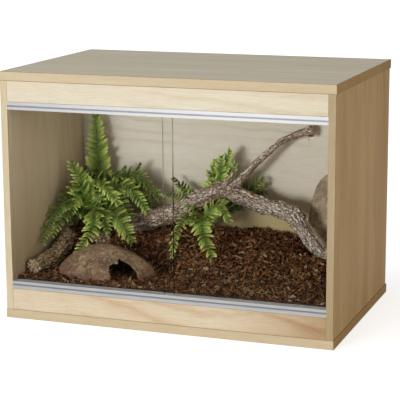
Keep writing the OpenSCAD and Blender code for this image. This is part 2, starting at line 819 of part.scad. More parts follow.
// Outline of the doorway, with shares of its width and height
module doorway() {
    polygon([for (p = [[-0.34, -0.03], [-0.35, 0.44], [-0.31, 0.7], [-0.18, 0.79], [-0.02, 0.77],
            [0.12, 1], [0.24, 0.86], [0.42, 0.74], [0.57, 0.45], [0.64, -0.03]])
        [p[0] * hide_door_w, p[1] * hide_door_h]]);
}

module cave_hide() {
    color("#8A7057") translate([hide_x, hide_y, hide_z + seat_gap]) difference() {
        dome(0, 0);
        dome(-hide_wall, 1);
        rotate([0, 0, hide_door_turn]) rotate([90, 0, 90]) translate([0, 0, hide_w / 5])
            linear_extrude(hide_l) doorway();
    }
}

// Branch: a thick leaning stem that forks, with a broken stub at the fork
function on_branch(pts) = [for (p = pts)
    [p[0], back_y + p[1], branch_z + p[2], p[3] + branch_extra]];

module branch_body(grow) {
    union() {
        limb(on_branch(stem_pts), 3, 10, branch_rough, grow);
        limb(on_branch(thick_pts), 3, 10, branch_rough, grow);
        limb(on_branch(thin_pts), 3, 8, branch_rough, grow);
        limb(on_branch(stub_pts), 2, 6, branch_rough, grow);
    }
}

module branch() {
    color("#8B7B6E") branch_body(0);
}

// Cork log, half sunk in the bedding beside the left wall
module log_body(grow) {
    dir = [cos(log_turn), sin(log_turn)];
    pts = [for (k = [0:4])
        let (s = log_l * k / 4, x = log_x + dir[0] * s, y = log_y + dir[1] * s)
        [x, y, bed_z(x, y) + log_r - log_sink, log_r * (1 - 0.18 * abs(k - 2) / 2)]];
    limb(pts, 3, 12, 0.1, grow);
}

module cork_log() {
    color("#9C8566") log_body(0);
}

// Rock slab: an upright oval with rounded faces, its foot in the bedding
module slab_body(grow) {
    rows = 11;
    sides = 20;
    skin([for (k = [0:rows])
        let (t = k / rows, z = -grow + (slab_h + 2 * grow) * sin(90 * t),
            f = t < 0.02 ? 0.93 : pow(cos(88 * pow(t, 1.25)), 0.8),
            drift = 8 * t * (1 - f))
        [for (j = [0:sides - 1])
            let (a = 360 * j / sides, c = cos(a), s = sin(a),
                px = sign(c) * pow(abs(c), 0.8), py = sign(s) * pow(abs(s), 0.9),
                lump = 1 - 0.03 * (1 + sin(a * 3 + z * 2)))
            [slab_x + drift + (slab_w / 2 * f * lump + grow) * px,
                slab_y + (slab_t / 2 * pow(f, 0.6) * lump + grow) * py, slab_z + z]]]);
}

module rock_slab() {
    color("#6E665A") slab_body(0);
}

// Fern frond: a thin arched blade with a ridge, cut into leaf pairs along both edges
module frond(root, mid, tip, share) {
    rib = curve([root, mid, tip], frond_pairs);
    n = frond_pairs * 2;
    skin([for (i = [0:n])
        let (t = i / n, h = heading(rib, i), side = unit(cross(h, [0.2, -0.7, 0.7])),
            up = cross(h, side),
            body = sin(180 * pow(t * 0.96 + 0.04, 0.75)),
            w = max(0.6, frond_w / 2 * share * body * (i % 2 == 1 ? 1 : 0.35)),
            thick = frond_t / 2 * (1 - 0.6 * t), lead = i % 2 == 1 ? 4 : 0,
            p = rib[i])
        [p + w * side + lead * h, p + thick * up, p - w * side + lead * h, p - thick * up]]);
}

// The pointed stake and the crown of a fern at [x, y]
module stake(at, grow) {
    r = stake_d / 2 + grow;
    translate([at[0], at[1], bed_z(at[0], at[1])]) rotate_extrude()
        polygon([[0, -stake_depth - grow], [1 + grow, -stake_depth - grow], [r, 8 - stake_depth],
            [r, 0], [2 * r, crown_h / 4], [1.6 * r, crown_h], [0, crown_h]]);
}

module fern(at, fronds) {
    root = [at[0], at[1], bed_z(at[0], at[1]) + crown_h * 2 / 3];
    union() {
        stake(at, 0);
        for (f = fronds) frond(root, root + f[0], root + f[1], f[2]);
    }
}

module fern_left() {
    color("#5F8A35") fern(left_crown, left_fronds);
}

module fern_centre() {
    color("#6B9440") fern(centre_crown, centre_fronds);
}

base_panel();
top_panel();
left_side();
right_side();
back_panel();
top_fascia();
base_fascia();
base_edging();
top_edging();
side_edging();
upper_runner();
lower_runner();
left_door();
right_door();
cam_bolts();
cam_locks();
dowels();
vent_outer_left();
vent_inner_left();
vent_inner_right();
vent_outer_right();
cable_grommet();
bark_bedding();
cave_hide();
branch();
cork_log();
rock_slab();
fern_left();
fern_centre();
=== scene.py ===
"""The looks of a wood-effect vivarium: faced boards, glass doors, bark bedding, hide, branch and ferns."""
import math
import random

import bmesh
import bpy
import numpy as np
from mathutils import Matrix, Vector, bvhtree, noise


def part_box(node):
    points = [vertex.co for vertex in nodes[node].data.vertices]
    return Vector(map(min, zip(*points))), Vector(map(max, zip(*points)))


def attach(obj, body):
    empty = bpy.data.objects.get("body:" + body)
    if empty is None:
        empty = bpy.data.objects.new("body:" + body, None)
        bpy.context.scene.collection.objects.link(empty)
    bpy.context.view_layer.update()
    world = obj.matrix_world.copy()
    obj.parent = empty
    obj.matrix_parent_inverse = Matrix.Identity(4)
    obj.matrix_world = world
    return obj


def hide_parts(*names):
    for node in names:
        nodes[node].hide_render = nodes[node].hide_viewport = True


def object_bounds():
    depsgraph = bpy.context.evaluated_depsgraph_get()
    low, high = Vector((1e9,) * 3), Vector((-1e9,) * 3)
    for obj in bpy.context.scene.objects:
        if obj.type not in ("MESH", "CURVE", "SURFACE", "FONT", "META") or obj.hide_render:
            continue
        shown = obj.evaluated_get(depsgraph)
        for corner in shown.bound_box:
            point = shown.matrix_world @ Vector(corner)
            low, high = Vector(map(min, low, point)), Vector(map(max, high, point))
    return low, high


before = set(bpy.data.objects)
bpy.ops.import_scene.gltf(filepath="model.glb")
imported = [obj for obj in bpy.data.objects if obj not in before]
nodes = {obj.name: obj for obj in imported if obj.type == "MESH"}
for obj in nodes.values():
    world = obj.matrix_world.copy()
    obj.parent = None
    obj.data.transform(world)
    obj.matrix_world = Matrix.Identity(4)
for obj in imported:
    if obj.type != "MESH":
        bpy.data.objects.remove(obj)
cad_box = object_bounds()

MM = 0.001

# Sizes of the finish that the CAD leaves open
BOARD_EASE = 0.55 * MM
STRIP_EASE = 0.4 * MM
PANE_CORNER = 1.5 * MM
PANE_ARRIS = 0.35 * MM
PANE_EDGE = 0.4 * MM
GROOVE_POS = 6 * MM
GROOVE_HALF = 1.2 * MM
BED_ROUGH = 1.6 * MM
SAME_POINT = 2e-6
ON_FACE = 5e-6
SHORTEST_RIM = 4 * MM


# Shader helpers

def put(tree, kind, values, **settings):
    """Adds a shader node. Each value is a number, a colour or another node's output."""
    made = tree.nodes.new("ShaderNode" + kind)
    for name, value in settings.items():
        setattr(made, name, value)
    for name, value in values.items():
        if isinstance(value, bpy.types.NodeSocket):
            tree.links.new(value, made.inputs[name])
        else:
            made.inputs[name].default_value = value
    return made


def rgba(red, green, blue):
    """A colour as it is picked from a screen, 0 to 255, in Blender's linear values."""
    picked = [c / 255 for c in (red, green, blue)]
    return [c / 12.92 if c <= 0.04045 else ((c + 0.055) / 1.055) ** 2.4 for c in picked] + [1.0]


def math_node(tree, operation, first, second=0.0, clamp=False):
    return put(tree, "Math", {0: first, 1: second}, operation=operation, use_clamp=clamp).outputs[0]


def times(tree, first, second):
    return math_node(tree, "MULTIPLY", first, second)


def plus(tree, first, second, clamp=False):
    return math_node(tree, "ADD", first, second, clamp)


def spread(tree, value, low, high, to_low=0.0, to_high=1.0):
    """Stretches a part of a value's range, low to high, over to_low to to_high."""
    return put(tree, "MapRange", {"Value": value, "From Min": low, "From Max": high,
                                  "To Min": to_low, "To Max": to_high}).outputs["Result"]


def blend_colour(tree, share, first, second, kind="MIX"):
    return put(tree, "Mix", {0: share, 6: first, 7: second}, data_type="RGBA", blend_type=kind).outputs[2]


def stretched(tree, vector, scale):
    return put(tree, "Mapping", {"Vector": vector, "Scale": scale}).outputs["Vector"]


def noise_value(tree, vector, scale, detail=3.0, rough=0.55, twist=0.0):
    return put(tree, "TexNoise", {"Vector": vector, "Scale": scale, "Detail": detail,
                                  "Roughness": rough, "Distortion": twist}).outputs["Fac"]


def wandered(tree, vector, scale, reach):
    """Places moved about by slow noise, so that marks wander."""
    loose = put(tree, "TexNoise", {"Vector": vector, "Scale": scale, "Detail": 2}).outputs["Color"]
    drift = put(tree, "VectorMath", {0: loose, 3: reach}, operation="SCALE").outputs["Vector"]
    return put(tree, "VectorMath", {0: vector, 1: drift}, operation="ADD").outputs["Vector"]


def new_group(name, **takes):
    """An empty shader group with inputs of the given kinds. It gives a colour and a height."""
    group = bpy.data.node_groups.new(name, "ShaderNodeTree")
    for side, sockets in (("INPUT", takes), ("OUTPUT", {"Color": "Color", "Height": "Float"})):
        for label, kind in sockets.items():
            group.interface.new_socket(label, in_out=side, socket_type="NodeSocket" + kind)
    source = group.nodes.new("NodeGroupInput")
    sink = group.nodes.new("NodeGroupOutput")
    return group, source.outputs, sink.inputs


def new_material(name, colour, rough, **values):
    """A material with one Principled shader. Returns the material, its tree and the shader."""
    material = bpy.data.materials.new(name)
    material.use_nodes = True
    material.diffuse_color = colour
    tree = material.node_tree
    shader = tree.nodes["Principled BSDF"]
    values.update(Base_Color=colour, Roughness=rough)
    for label, value in values.items():
        shader.inputs[label.replace("_", " ")].default_value = value
    return material, tree, shader


def feed(tree, shader, **sources):
    for label, socket in sources.items():
        tree.links.new(socket, shader.inputs[label.replace("_", " ")])


def bump(tree, shader, height, distance, strength=1.0):
    made = put(tree, "Bump", {"Height": height, "Distance": distance, "Strength": strength})
    tree.links.new(made.outputs["Normal"], shader.inputs["Normal"])


def own_place(tree, shift=(0, 0, 0), turn=(0, 0, 0)):
    """The piece's own coordinates, moved and turned, so that each board has its own grain."""
    place = put(tree, "TexCoord", {}).outputs["Object"]
    turned = [math.radians(a) for a in turn]
    return put(tree, "Mapping", {"Vector": place, "Location": shift, "Rotation": turned}).outputs["Vector"]


def place_on(tree, axis):
    """The piece's own coordinate on one axis."""
    return put(tree, "SeparateXYZ", {"Vector": own_place(tree)}).outputs[axis]


def kept(tree, name, output="Fac"):
    """A value that the mesh keeps for each of its points."""
    return put(tree, "Attribute", {}, attribute_name=name).outputs[output]


# Wood grain of the facing: broad bands, arched rings and short fibres, all along the first axis

def wood_grain_group():
    group, given, result = new_group("wood_grain", Vector="Vector", Pale="Color", Dark="Color",
                                     Bands="Float", Rings="Float", Fibres="Float")
    wander = wandered(group, given["Vector"], 7, 0.028)
    along = stretched(group, wander, (0.1, 1, 1))
    bands = spread(group, noise_value(group, along, 26, 3, 0.55, 0.2), 0.32, 0.7)
    wave = put(group, "TexWave", {"Vector": along, "Scale": 26, "Distortion": 13, "Detail": 2,
                                  "Detail Scale": 0.42, "Detail Roughness": 0.45},
               bands_direction="DIAGONAL").outputs["Fac"]
    rings = math_node(group, "POWER", wave, 3.2)
    here = spread(group, noise_value(group, stretched(group, wander, (0.3, 1, 1)), 9, 1), 0.42, 0.6)
    rings = times(group, rings, here)
    long_fibres = noise_value(group, stretched(group, wander, (0.03, 1, 1)), 520, 3, 0.6)
    fibres = spread(group, long_fibres, 0.36, 0.68)
    short_dashes = noise_value(group, stretched(group, wander, (0.09, 1, 1)), 760, 1)
    dashes = spread(group, short_dashes, 0.62, 0.72)
    tone = times(group, bands, given["Bands"])
    for marks, share in ((rings, given["Rings"]), (fibres, given["Fibres"])):
        tone = plus(group, tone, times(group, marks, share))
    tone = plus(group, tone, times(group, dashes, 0.22), True)
    group.links.new(blend_colour(group, tone, given["Pale"], given["Dark"]), result["Color"])
    group.links.new(math_node(group, "SUBTRACT", fibres, dashes), result["Height"])
    return group


# Mottling of rock and soil: three tones in patches, with pale flecks

def mottle_group():
    group, given, result = new_group("mottle", Vector="Vector", Scale="Float", Dark="Color",
                                     Middle="Color", Pale="Color", Flecks="Float")
    patches = noise_value(group, given["Vector"], given["Scale"], 5, 0.62, 0.4)
    fine = noise_value(group, given["Vector"], times(group, given["Scale"], 5.3), 4, 0.7)
    body = blend_colour(group, spread(group, patches, 0.36, 0.62), given["Dark"], given["Middle"])
    fleck = times(group, spread(group, fine, 0.55, 0.72), given["Flecks"])
    group.links.new(blend_colour(group, fleck, body, given["Pale"]), result["Color"])
    height = plus(group, times(group, patches, 0.6), times(group, fine, 0.4))
    group.links.new(height, result["Height"])
    return group


wood_grain = wood_grain_group()
mottle = mottle_group()


def mottled(tree, scale, dark, middle, pale, flecks):
    return put(tree, "Group", {"Vector": own_place(tree), "Scale": scale, "Dark": dark, "Middle": middle,
                               "Pale": pale, "Flecks": flecks}, node_tree=mottle).outputs


# Materials of the cabinet

def board_material(name, pale, dark, shift, turn=(0, 0, 0), bands=0.5, rings=0.35, fibres=0.25, rough=0.42):
    """Faced board. The grain runs along X, or along Z with a turn of 90 degrees about Y."""
    material, tree, shader = new_material(name, pale, rough, Specular_IOR_Level=0.04)
    place = own_place(tree, shift, turn)
    grain = put(tree, "Group", {"Vector": place, "Pale": pale, "Dark": dark, "Bands": bands,
                                "Rings": rings, "Fibres": fibres}, node_tree=wood_grain).outputs
    gloss = spread(tree, grain["Height"], 0, 1, rough + 0.05, rough - 0.05)
    feed(tree, shader, Base_Color=grain["Color"], Roughness=gloss)
    bump(tree, shader, grain["Height"], 0.00006, 0.5)
    return material


UPRIGHT = (0, 90, 0)

boards = {
    "top_panel": board_material("top_board", rgba(240, 231, 208), rgba(212, 200, 174), (0.3, 0.7, 0.1),
                                bands=0.45, rings=0.3, fibres=0.3),
    "base_panel": board_material("base_board", rgba(226, 212, 184), rgba(200, 178, 140), (1.3, 0.2, 0.4)),
    "top_fascia": board_material("top_fascia_board", rgba(232, 224, 204), rgba(210, 192, 160),
                                 (2.1, 0.4, 0.23), bands=0.3, rings=0.35, fibres=0.35),
    "base_fascia": board_material("base_fascia_board", rgba(228, 214, 188), rgba(196, 162, 124),
                                  (0.9, 1.4, 0.9), bands=0.3, rings=0.5, fibres=0.3),
    "left_side": board_material("left_board", rgba(236, 222, 196), rgba(200, 178, 144),
                                (0.2, 0.3, 1.1), UPRIGHT, bands=0.4, rings=0.2),
    # Painted shade: the right side's facing is darker and warmer than the left side's, for the shade on that
    # side.
    "right_side": board_material("shaded_right_board", rgba(216, 182, 130), rgba(172, 134, 88),
                                 (0.7, 1.9, 0.3), UPRIGHT, bands=0.55, rings=0.15, fibres=0.18),
    "back_panel": board_material("back_board", rgba(238, 231, 219), rgba(208, 196, 172), (1.8, 0.6, 0.75),
                                 bands=0.45, rings=0.4, rough=0.5),
}
edging_flat = board_material("edging_flat", rgba(216, 200, 170), rgba(196, 174, 138), (0.5, 0.1, 1.9),
                             rings=0.1)
edging_upright = board_material("edging_upright", rgba(224, 212, 184), rgba(196, 174, 136), (0.1, 0.8, 0.6),
                                UPRIGHT, rings=0.1)
glue_line = board_material("glue_line", rgba(182, 150, 104), rgba(144, 112, 72), (0.2, 0.2, 0.2), bands=0.4,
                           rings=0, rough=0.7)


def paint_shade_by_place(material, axis, start, end, colour, share, only_axis=None, only_below=0.0, side=1):
    """Paints shade on a finished board: darkens its colour from one place to another along an axis.
    With only_axis, it does so only where that coordinate times side is below only_below."""
    tree = material.node_tree
    shader = tree.nodes["Principled BSDF"]
    plain = shader.inputs["Base Color"].links[0].from_socket
    amount = spread(tree, place_on(tree, axis), start, end, 0, share)
    if only_axis:
        spot = times(tree, place_on(tree, only_axis), side)
        near = math_node(tree, "LESS_THAN", spot, only_below)
        amount = times(tree, amount, near)
    feed(tree, shader, Base_Color=blend_colour(tree, amount, plain, colour, "MULTIPLY"))


# Painted shade and warm bounce light: the back wall's inner face is darker and more olive low down.
paint_shade_by_place(boards["back_panel"], "Z", 0.2, 0.12, rgba(216, 200, 140), 0.9, "Y", 0.1165)
# Painted shade: the left wall's inner face gets darker towards the bottom.
paint_shade_by_place(boards["left_side"], "Z", 0.24, 0.1, rgba(222, 216, 206), 1.0, "X", 0.276, -1)
# Painted shade: the lower fascia gets darker towards its right end, as the lamps' light falls off.
paint_shade_by_place(boards["base_fascia"], "X", 0.1, 0.28, rgba(214, 198, 178), 1.0)
# Painted shade: the right-hand ends of the top and base edging are darker and warmer, like the shaded right
# side.
paint_shade_by_place(edging_flat, "X", 0.2864, 0.2868, rgba(222, 196, 152), 1.0)
# Painted shade: the right side's front edging is darker than the left one.
paint_shade_by_place(edging_upright, "X", 0.0, 0.001, rgba(214, 206, 194), 1.0)


def groove_height(rail):
    """Height of the groove along a runner's face, GROOVE_POS from the edge that faces the glass."""
    low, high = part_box(rail)
    return high.z - GROOVE_POS if rail == "lower_runner" else low.z + GROOVE_POS


def runner_material():
    """Silver runner: a drawn finish with faint lines along it, and a groove darkened with painted shade."""
    material, tree, shader = new_material("silver_runner", rgba(172, 172, 173), 0.4, Metallic=0.25)
    drawn = noise_value(tree, stretched(tree, own_place(tree), (0.02, 1, 1)), 1400, 2, 0.6)
    tint = blend_colour(tree, spread(tree, drawn, 0.35, 0.65), rgba(168, 169, 170), rgba(183, 184, 184))
    height = place_on(tree, "Z")
    for rail in ("upper_runner", "lower_runner"):
        # Painted shade: a darker band along each runner's groove.
        off = math_node(tree, "ABSOLUTE", math_node(tree, "SUBTRACT", height, groove_height(rail)))
        groove = spread(tree, off, GROOVE_HALF, GROOVE_HALF + 0.3 * MM, 0.85, 0)
        tint = blend_colour(tree, groove, tint, rgba(106, 110, 118))
    feed(tree, shader, Base_Color=tint, Roughness=spread(tree, drawn, 0.3, 0.7, 0.34, 0.46))
    bump(tree, shader, drawn, 0.00003, 0.4)
    return material


def glass_material(name, colour):
    """Clear glass that lets the lamps and the bounced light through."""
    material, tree, shader = new_material(name, colour, 0, Transmission_Weight=1.0, IOR=1.06)
    path = put(tree, "LightPath", {}).outputs
    pass_by = math_node(tree, "MAXIMUM", path["Is Shadow Ray"], path["Is Diffuse Ray"])
    open_air = put(tree, "BsdfTransparent", {"Color": [0.5 + 0.5 * c for c in colour[:3]] + [1]})
    both = put(tree, "MixShader", {0: pass_by, 1: shader.outputs["BSDF"], 2: open_air.outputs["BSDF"]})
    tree.links.new(both.outputs[0], tree.nodes["Material Output"].inputs["Surface"])
    return material


def plastic_material(name, colour, rough):
    """Moulded plastic with a fine spark-eroded grain."""
    material, tree, shader = new_material(name, colour, rough)
    grain = noise_value(tree, own_place(tree), 900, 3, 0.6)
    paler = [min(1, c * 1.35 + 0.01) for c in colour[:3]] + [1]
    worn = spread(tree, noise_value(tree, own_place(tree), 40, 4, 0.6), 0.45, 0.75)
    feed(tree, shader, Base_Color=blend_colour(tree, worn, colour, paler),
         Roughness=spread(tree, grain, 0.3, 0.7, rough - 0.08, rough + 0.08))
    bump(tree, shader, grain, 0.00008, 0.6)
    return material


def zinc_material():
    material, tree, shader = new_material("zinc_fixing", rgba(176, 174, 170), 0.38, Metallic=1.0)
    spangle = put(tree, "TexVoronoi", {"Vector": own_place(tree), "Scale": 420}).outputs["Distance"]
    tint = blend_colour(tree, spread(tree, spangle, 0, 0.7), rgba(150, 149, 147), rgba(196, 195, 190))
    feed(tree, shader, Base_Color=tint, Roughness=spread(tree, spangle, 0, 0.8, 0.3, 0.48))
    return material


silver = runner_material()
clear_glass = glass_material("clear_glass", [0.985, 0.995, 0.99, 1])
glass_edge = glass_material("ground_glass_edge", [0.26, 0.27, 0.24, 1])
vent_plastic = plastic_material("vent_plastic", rgba(46, 45, 44), 0.45)
grommet_plastic = plastic_material("grommet_plastic", rgba(40, 40, 41), 0.5)
zinc = zinc_material()
dowel_wood = board_material("dowel_beech", rgba(214, 186, 142), rgba(176, 142, 98), (0.4, 0.4, 0.2),
                            bands=0.3, rings=0, fibres=0.6, rough=0.65)


# The finish of the CAD nodes that keep their own shape

finishes = (
    (silver, "upper_runner", "lower_runner"),
    (vent_plastic, "vent_outer_left", "vent_inner_left", "vent_inner_right", "vent_outer_right"),
    (grommet_plastic, "cable_grommet"),
    (zinc, "cam_bolts", "cam_locks"),
    (dowel_wood, "dowels"),
)
for material, *names in finishes:
    for name in names:
        slots = nodes[name].data.materials
        slots.clear()
        slots.append(material)


# Mesh helpers

def mesh_from(bm, name):
    """Turns a bmesh into a mesh and frees it."""
    mesh = bpy.data.meshes.new(name)
    bm.to_mesh(mesh)
    bm.free()
    return mesh


def add_object(name, data):
    made = bpy.data.objects.new(name, data)
    bpy.context.scene.collection.objects.link(made)
    return made


def mesh_of(holder):
    """The mesh that an object's modifier or curve makes. The object itself goes."""
    graph = bpy.context.evaluated_depsgraph_get()
    made = bpy.data.meshes.new_from_object(holder.evaluated_get(graph))
    bpy.data.objects.remove(holder)
    return made


def place_piece(name, mesh, materials, body="cabinet", smooth=True):
    """Adds a mesh as a piece that rides on a body."""
    piece = add_object(name, mesh)
    for material in materials:
        mesh.materials.append(material)
    if smooth:
        mesh.polygons.foreach_set("use_smooth", [True] * len(mesh.polygons))
    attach(piece, body)
    return piece


def new_piece(name, bm, materials, body="cabinet", smooth=True):
    return place_piece(name, mesh_from(bm, name), materials, body, smooth)


def ease_edges(bm, edges, offset, segments, clamp=False):
    """Bevels the edges and returns the new faces."""
    return bmesh.ops.bevel(bm, geom=edges, offset=offset, offset_type="OFFSET", segments=segments,
                           profile=0.5, affect="EDGES", material=-1, clamp_overlap=clamp)["faces"]


def joined_copy(node):
    """A copy of a CAD node with its loose triangles joined."""
    bm = bmesh.new()
    bm.from_mesh(nodes[node].data)
    bmesh.ops.remove_doubles(bm, verts=bm.verts, dist=SAME_POINT)
    bmesh.ops.recalc_face_normals(bm, faces=bm.faces)
    return bm


def fine_skin(node, size):
    """A CAD node's shape as one even skin of small faces, ready to be roughened."""
    holder = add_object(node + "_skin", mesh_from(joined_copy(node), node + "_skin"))
    skin = holder.modifiers.new("skin", "REMESH")
    skin.mode = "VOXEL"
    skin.voxel_size = size
    return mesh_of(holder)


def rows_of(items, field):
    rows = np.empty(len(items) * 3)
    items.foreach_get(field, rows)
    return rows.reshape(-1, 3)


def points_of(mesh):
    return rows_of(mesh.vertices, "co")


def normals_of(mesh):
    return rows_of(mesh.vertex_normals, "vector")


def set_points(mesh, co):
    mesh.vertices.foreach_set("co", co.ravel())
    mesh.update()


def keep_values(mesh, name, values):
    """Keeps a number or a vector for each point of a mesh, for its material."""
    values = np.asarray(values, dtype=float)
    kind, field = ("FLOAT", "value") if values.ndim == 1 else ("FLOAT_VECTOR", "vector")
    mesh.attributes.new(name, kind, "POINT").data.foreach_set(field, values.ravel())


def fractal(points, scale, octaves=4, seed=0.0):
    """Smooth noise at each point, about -1 to 1."""
    shift = Vector((seed, seed * 1.7, seed * 2.3))
    return np.array([noise.fractal(Vector(p) * scale + shift, 0.6, 2.1, octaves) for p in points])


def ridged(points, scale, seed=0.0):
    """Noise with sharp valleys, 0 in the cracks and 1 between them."""
    shift = Vector((seed, seed * 1.3, seed * 0.7))
    return np.array([min(1.0, 2.4 * abs(noise.noise(Vector(p) * scale + shift))) for p in points])


def smooth_path(points, steps):
    """A smooth line through the points, with a number of steps between each two."""
    path = []
    for i in range(len(points) - 1):
        a, b, c, d = (points[max(0, min(len(points) - 1, j))] for j in (i - 1, i, i + 1, i + 2))
        for k in range(steps):
            t = k / steps
            path.append(0.5 * (2 * b + (c - a) * t + (2 * a - 5 * b + 4 * c - d) * t * t
                               + (3 * b - a - 3 * c + d) * t ** 3))
    return path + [points[-1]]


def rib_tubes(bm, ribs):
    """Round tapered ribs along their lines."""
    for rib in ribs:
        curve = bpy.data.curves.new("rib", "CURVE")
        curve.dimensions = "3D"
        curve.bevel_depth = 1.0
        curve.bevel_resolution = 1
        curve.use_fill_caps = True
        line = curve.splines.new("POLY")
        line.points.add(len(rib) - 1)
        for point, (place, radius) in zip(line.points, rib):
            point.co = (*place, 1)
            point.radius = radius
        tube = mesh_of(add_object("rib", curve))
        bm.from_mesh(tube)
        bpy.data.meshes.remove(tube)


# Boards, with their edges eased and a fine glue line along them

def eased_board(node, material, ease=BOARD_EASE):
    """A CAD board with its outer edges eased; the eased edge shows the glue line of the facing."""
    bm = joined_copy(node)
    bmesh.ops.dissolve_limit(bm, angle_limit=math.radians(0.5), verts=bm.verts, edges=bm.edges)
    low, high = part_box(node)
    rims = []
    for edge in bm.edges:
        sides = 0
        for axis in range(3):
            for plane in (low[axis], high[axis]):
                sides += all(abs(v.co[axis] - plane) < ON_FACE for v in edge.verts)
        if sides == 2 and edge.calc_length() > SHORTEST_RIM:
            rims.append(edge)
    for face in ease_edges(bm, rims, ease, 2, True):
        face.material_index = 1
    bmesh.ops.triangulate(bm, faces=bm.faces)
    board = new_piece(node + "_board", bm, [material, glue_line], smooth=False)
    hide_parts(node)


for node, material in boards.items():
    eased_board(node, material)
for node in ("base_edging", "top_edging"):
    eased_board(node, edging_flat, STRIP_EASE)
eased_board("side_edging", edging_upright, STRIP_EASE)


# Glass doors

def glass_pane(node):
    """A door: rounded corners, a ground arris round both faces and a ground edge where the doors meet."""
    low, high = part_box(node)
    size = high - low
    bm = bmesh.new()
    fit = Matrix.Translation((low + high) / 2) @ Matrix.Diagonal((*size, 1))
    bmesh.ops.create_cube(bm, size=1, matrix=fit)
    corners = [e for e in bm.edges if abs(e.verts[0].co.y - e.verts[1].co.y) > size.y / 2]
    ease_edges(bm, corners, PANE_CORNER, 5)
    rims = [e for e in bm.edges if abs(e.verts[0].co.y - e.verts[1].co.y) < 1e-6
            and len(e.link_faces) == 2 and e.calc_face_angle(0) > 1]
    ease_edges(bm, rims, PANE_ARRIS, 1)
    meeting_x = high.x if node == "left_door" else low.x
    for face in bm.faces:
        face.material_index = 1 if abs(face.calc_center_median().x - meeting_x) < PANE_EDGE else 0
    pane = new_piece(node + "_pane", bm, [clear_glass, glass_edge], node, smooth=False)
    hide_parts(node)


for door in ("left_door", "right_door"):
    glass_pane(door)


# Bedding: a dark rough bed, with thousands of bark chips on it

bed_tree = bvhtree.BVHTree.FromBMesh(joined_copy("bark_bedding"))


def bed_at(x, y):
    """Height and slope of the bedding at a place."""
    spot, normal, _, _ = bed_tree.ray_cast(Vector((x, y, 0.3)), Vector((0, 0, -1)))
    return spot, normal


def soil_material():
    material, tree, shader = new_material("bedding_soil", rgba(66, 46, 33), 0.95, Specular_IOR_Level=0.15)
    parts = mottled(tree, 150, rgba(30, 19, 13), rgba(84, 57, 39), rgba(124, 92, 66), 0.3)
    feed(tree, shader, Base_Color=parts["Color"])
    bump(tree, shader, parts["Height"], 0.0012)
    return material


def chip_material():
    """Bark chips: each has its own tone, and streaks along its fibres."""
    material, tree, shader = new_material("bark_chip", rgba(104, 62, 38), 0.85, Specular_IOR_Level=0.15)
    ramp = put(tree, "ValToRGB", {"Fac": kept(tree, "tone")})
    stops = ramp.color_ramp.elements
    stops[0].color = rgba(44, 31, 21)
    stops[1].color = rgba(220, 196, 154)
    for place, colour in ((0.25, rgba(108, 68, 42)), (0.5, rgba(168, 104, 62)),
                          (0.7, rgba(196, 138, 88)), (0.86, rgba(196, 162, 116))):
        stops.new(place).color = colour
    # The chips are made greyer and darker towards the front of the bed.
    greyed = spread(tree, place_on(tree, "Y"), -0.02, -0.14, 0, 0.6)
    dull = blend_colour(tree, greyed, rgba(255, 255, 255), rgba(190, 214, 226))
    front_greyed = blend_colour(tree, 1.0, ramp.outputs["Color"], dull, "MULTIPLY")
    fibre = noise_value(tree, own_place(tree), 700, 4, 0.7)
    shade = blend_colour(tree, spread(tree, fibre, 0.35, 0.7), rgba(90, 86, 82), rgba(255, 250, 244))
    feed(tree, shader, Base_Color=blend_colour(tree, 0.75, front_greyed, shade, "MULTIPLY"))
    bump(tree, shader, fibre, 0.0004)
    return material


soil = soil_material()
chip_bark = chip_material()

bed_mesh = fine_skin("bark_bedding", 3.6 * MM)
bed_points = points_of(bed_mesh)
upper = normals_of(bed_mesh)[:, 2] > 0.3
rough_bed = fractal(bed_points, 95, 3) * BED_ROUGH - BED_ROUGH
bed_points[upper, 2] += rough_bed[upper]
set_points(bed_mesh, bed_points)
bed = place_piece("bedding_soil", bed_mesh, [soil])
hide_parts("bark_bedding")


def chip_shapes(rng, count):
    """A few shards of bark, a unit long, split along their fibres and broken at the ends."""
    shapes = []
    for _ in range(count):
        bm = bmesh.new()
        bmesh.ops.create_cube(bm, size=1)
        long_edges = [e for e in bm.edges if abs(e.verts[0].co.x - e.verts[1].co.x) > 0.5]
        bmesh.ops.subdivide_edges(bm, edges=long_edges, cuts=1)
        wide, thick, bow = rng.uniform(0.2, 0.5), rng.uniform(0.07, 0.15), rng.uniform(-0.14, 0.18)
        for v in bm.verts:
            taper = rng.uniform(0.45, 1.0) if abs(v.co.x) > 0.25 else rng.uniform(0.85, 1.1)
            v.co.x *= rng.uniform(0.72, 1.1)
            v.co.y *= wide * taper
            v.co.z = v.co.z * thick * taper + bow * (0.25 - v.co.x ** 2)
        bmesh.ops.triangulate(bm, faces=bm.faces)
        bmesh.ops.recalc_face_normals(bm, faces=bm.faces)
        shapes.append(mesh_from(bm, "chip_shape"))
    return shapes


def scatter(name, shapes, places, material, smooth=False):
    """Sets copies of the shapes at the places, each (shape, matrix, tone), as one piece."""
    bm = bmesh.new()
    tones = []
    for shape, matrix, tone in places:
        copy = shapes[shape].copy()
        copy.transform(matrix)
        bm.from_mesh(copy)
        tones += [tone] * len(copy.vertices)
        bpy.data.meshes.remove(copy)
    piece = new_piece(name, bm, [material], smooth=smooth)
    keep_values(piece.data, "tone", tones)
    return piece


CHIP_KINDS = 14
low_bed, high_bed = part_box("bark_bedding")


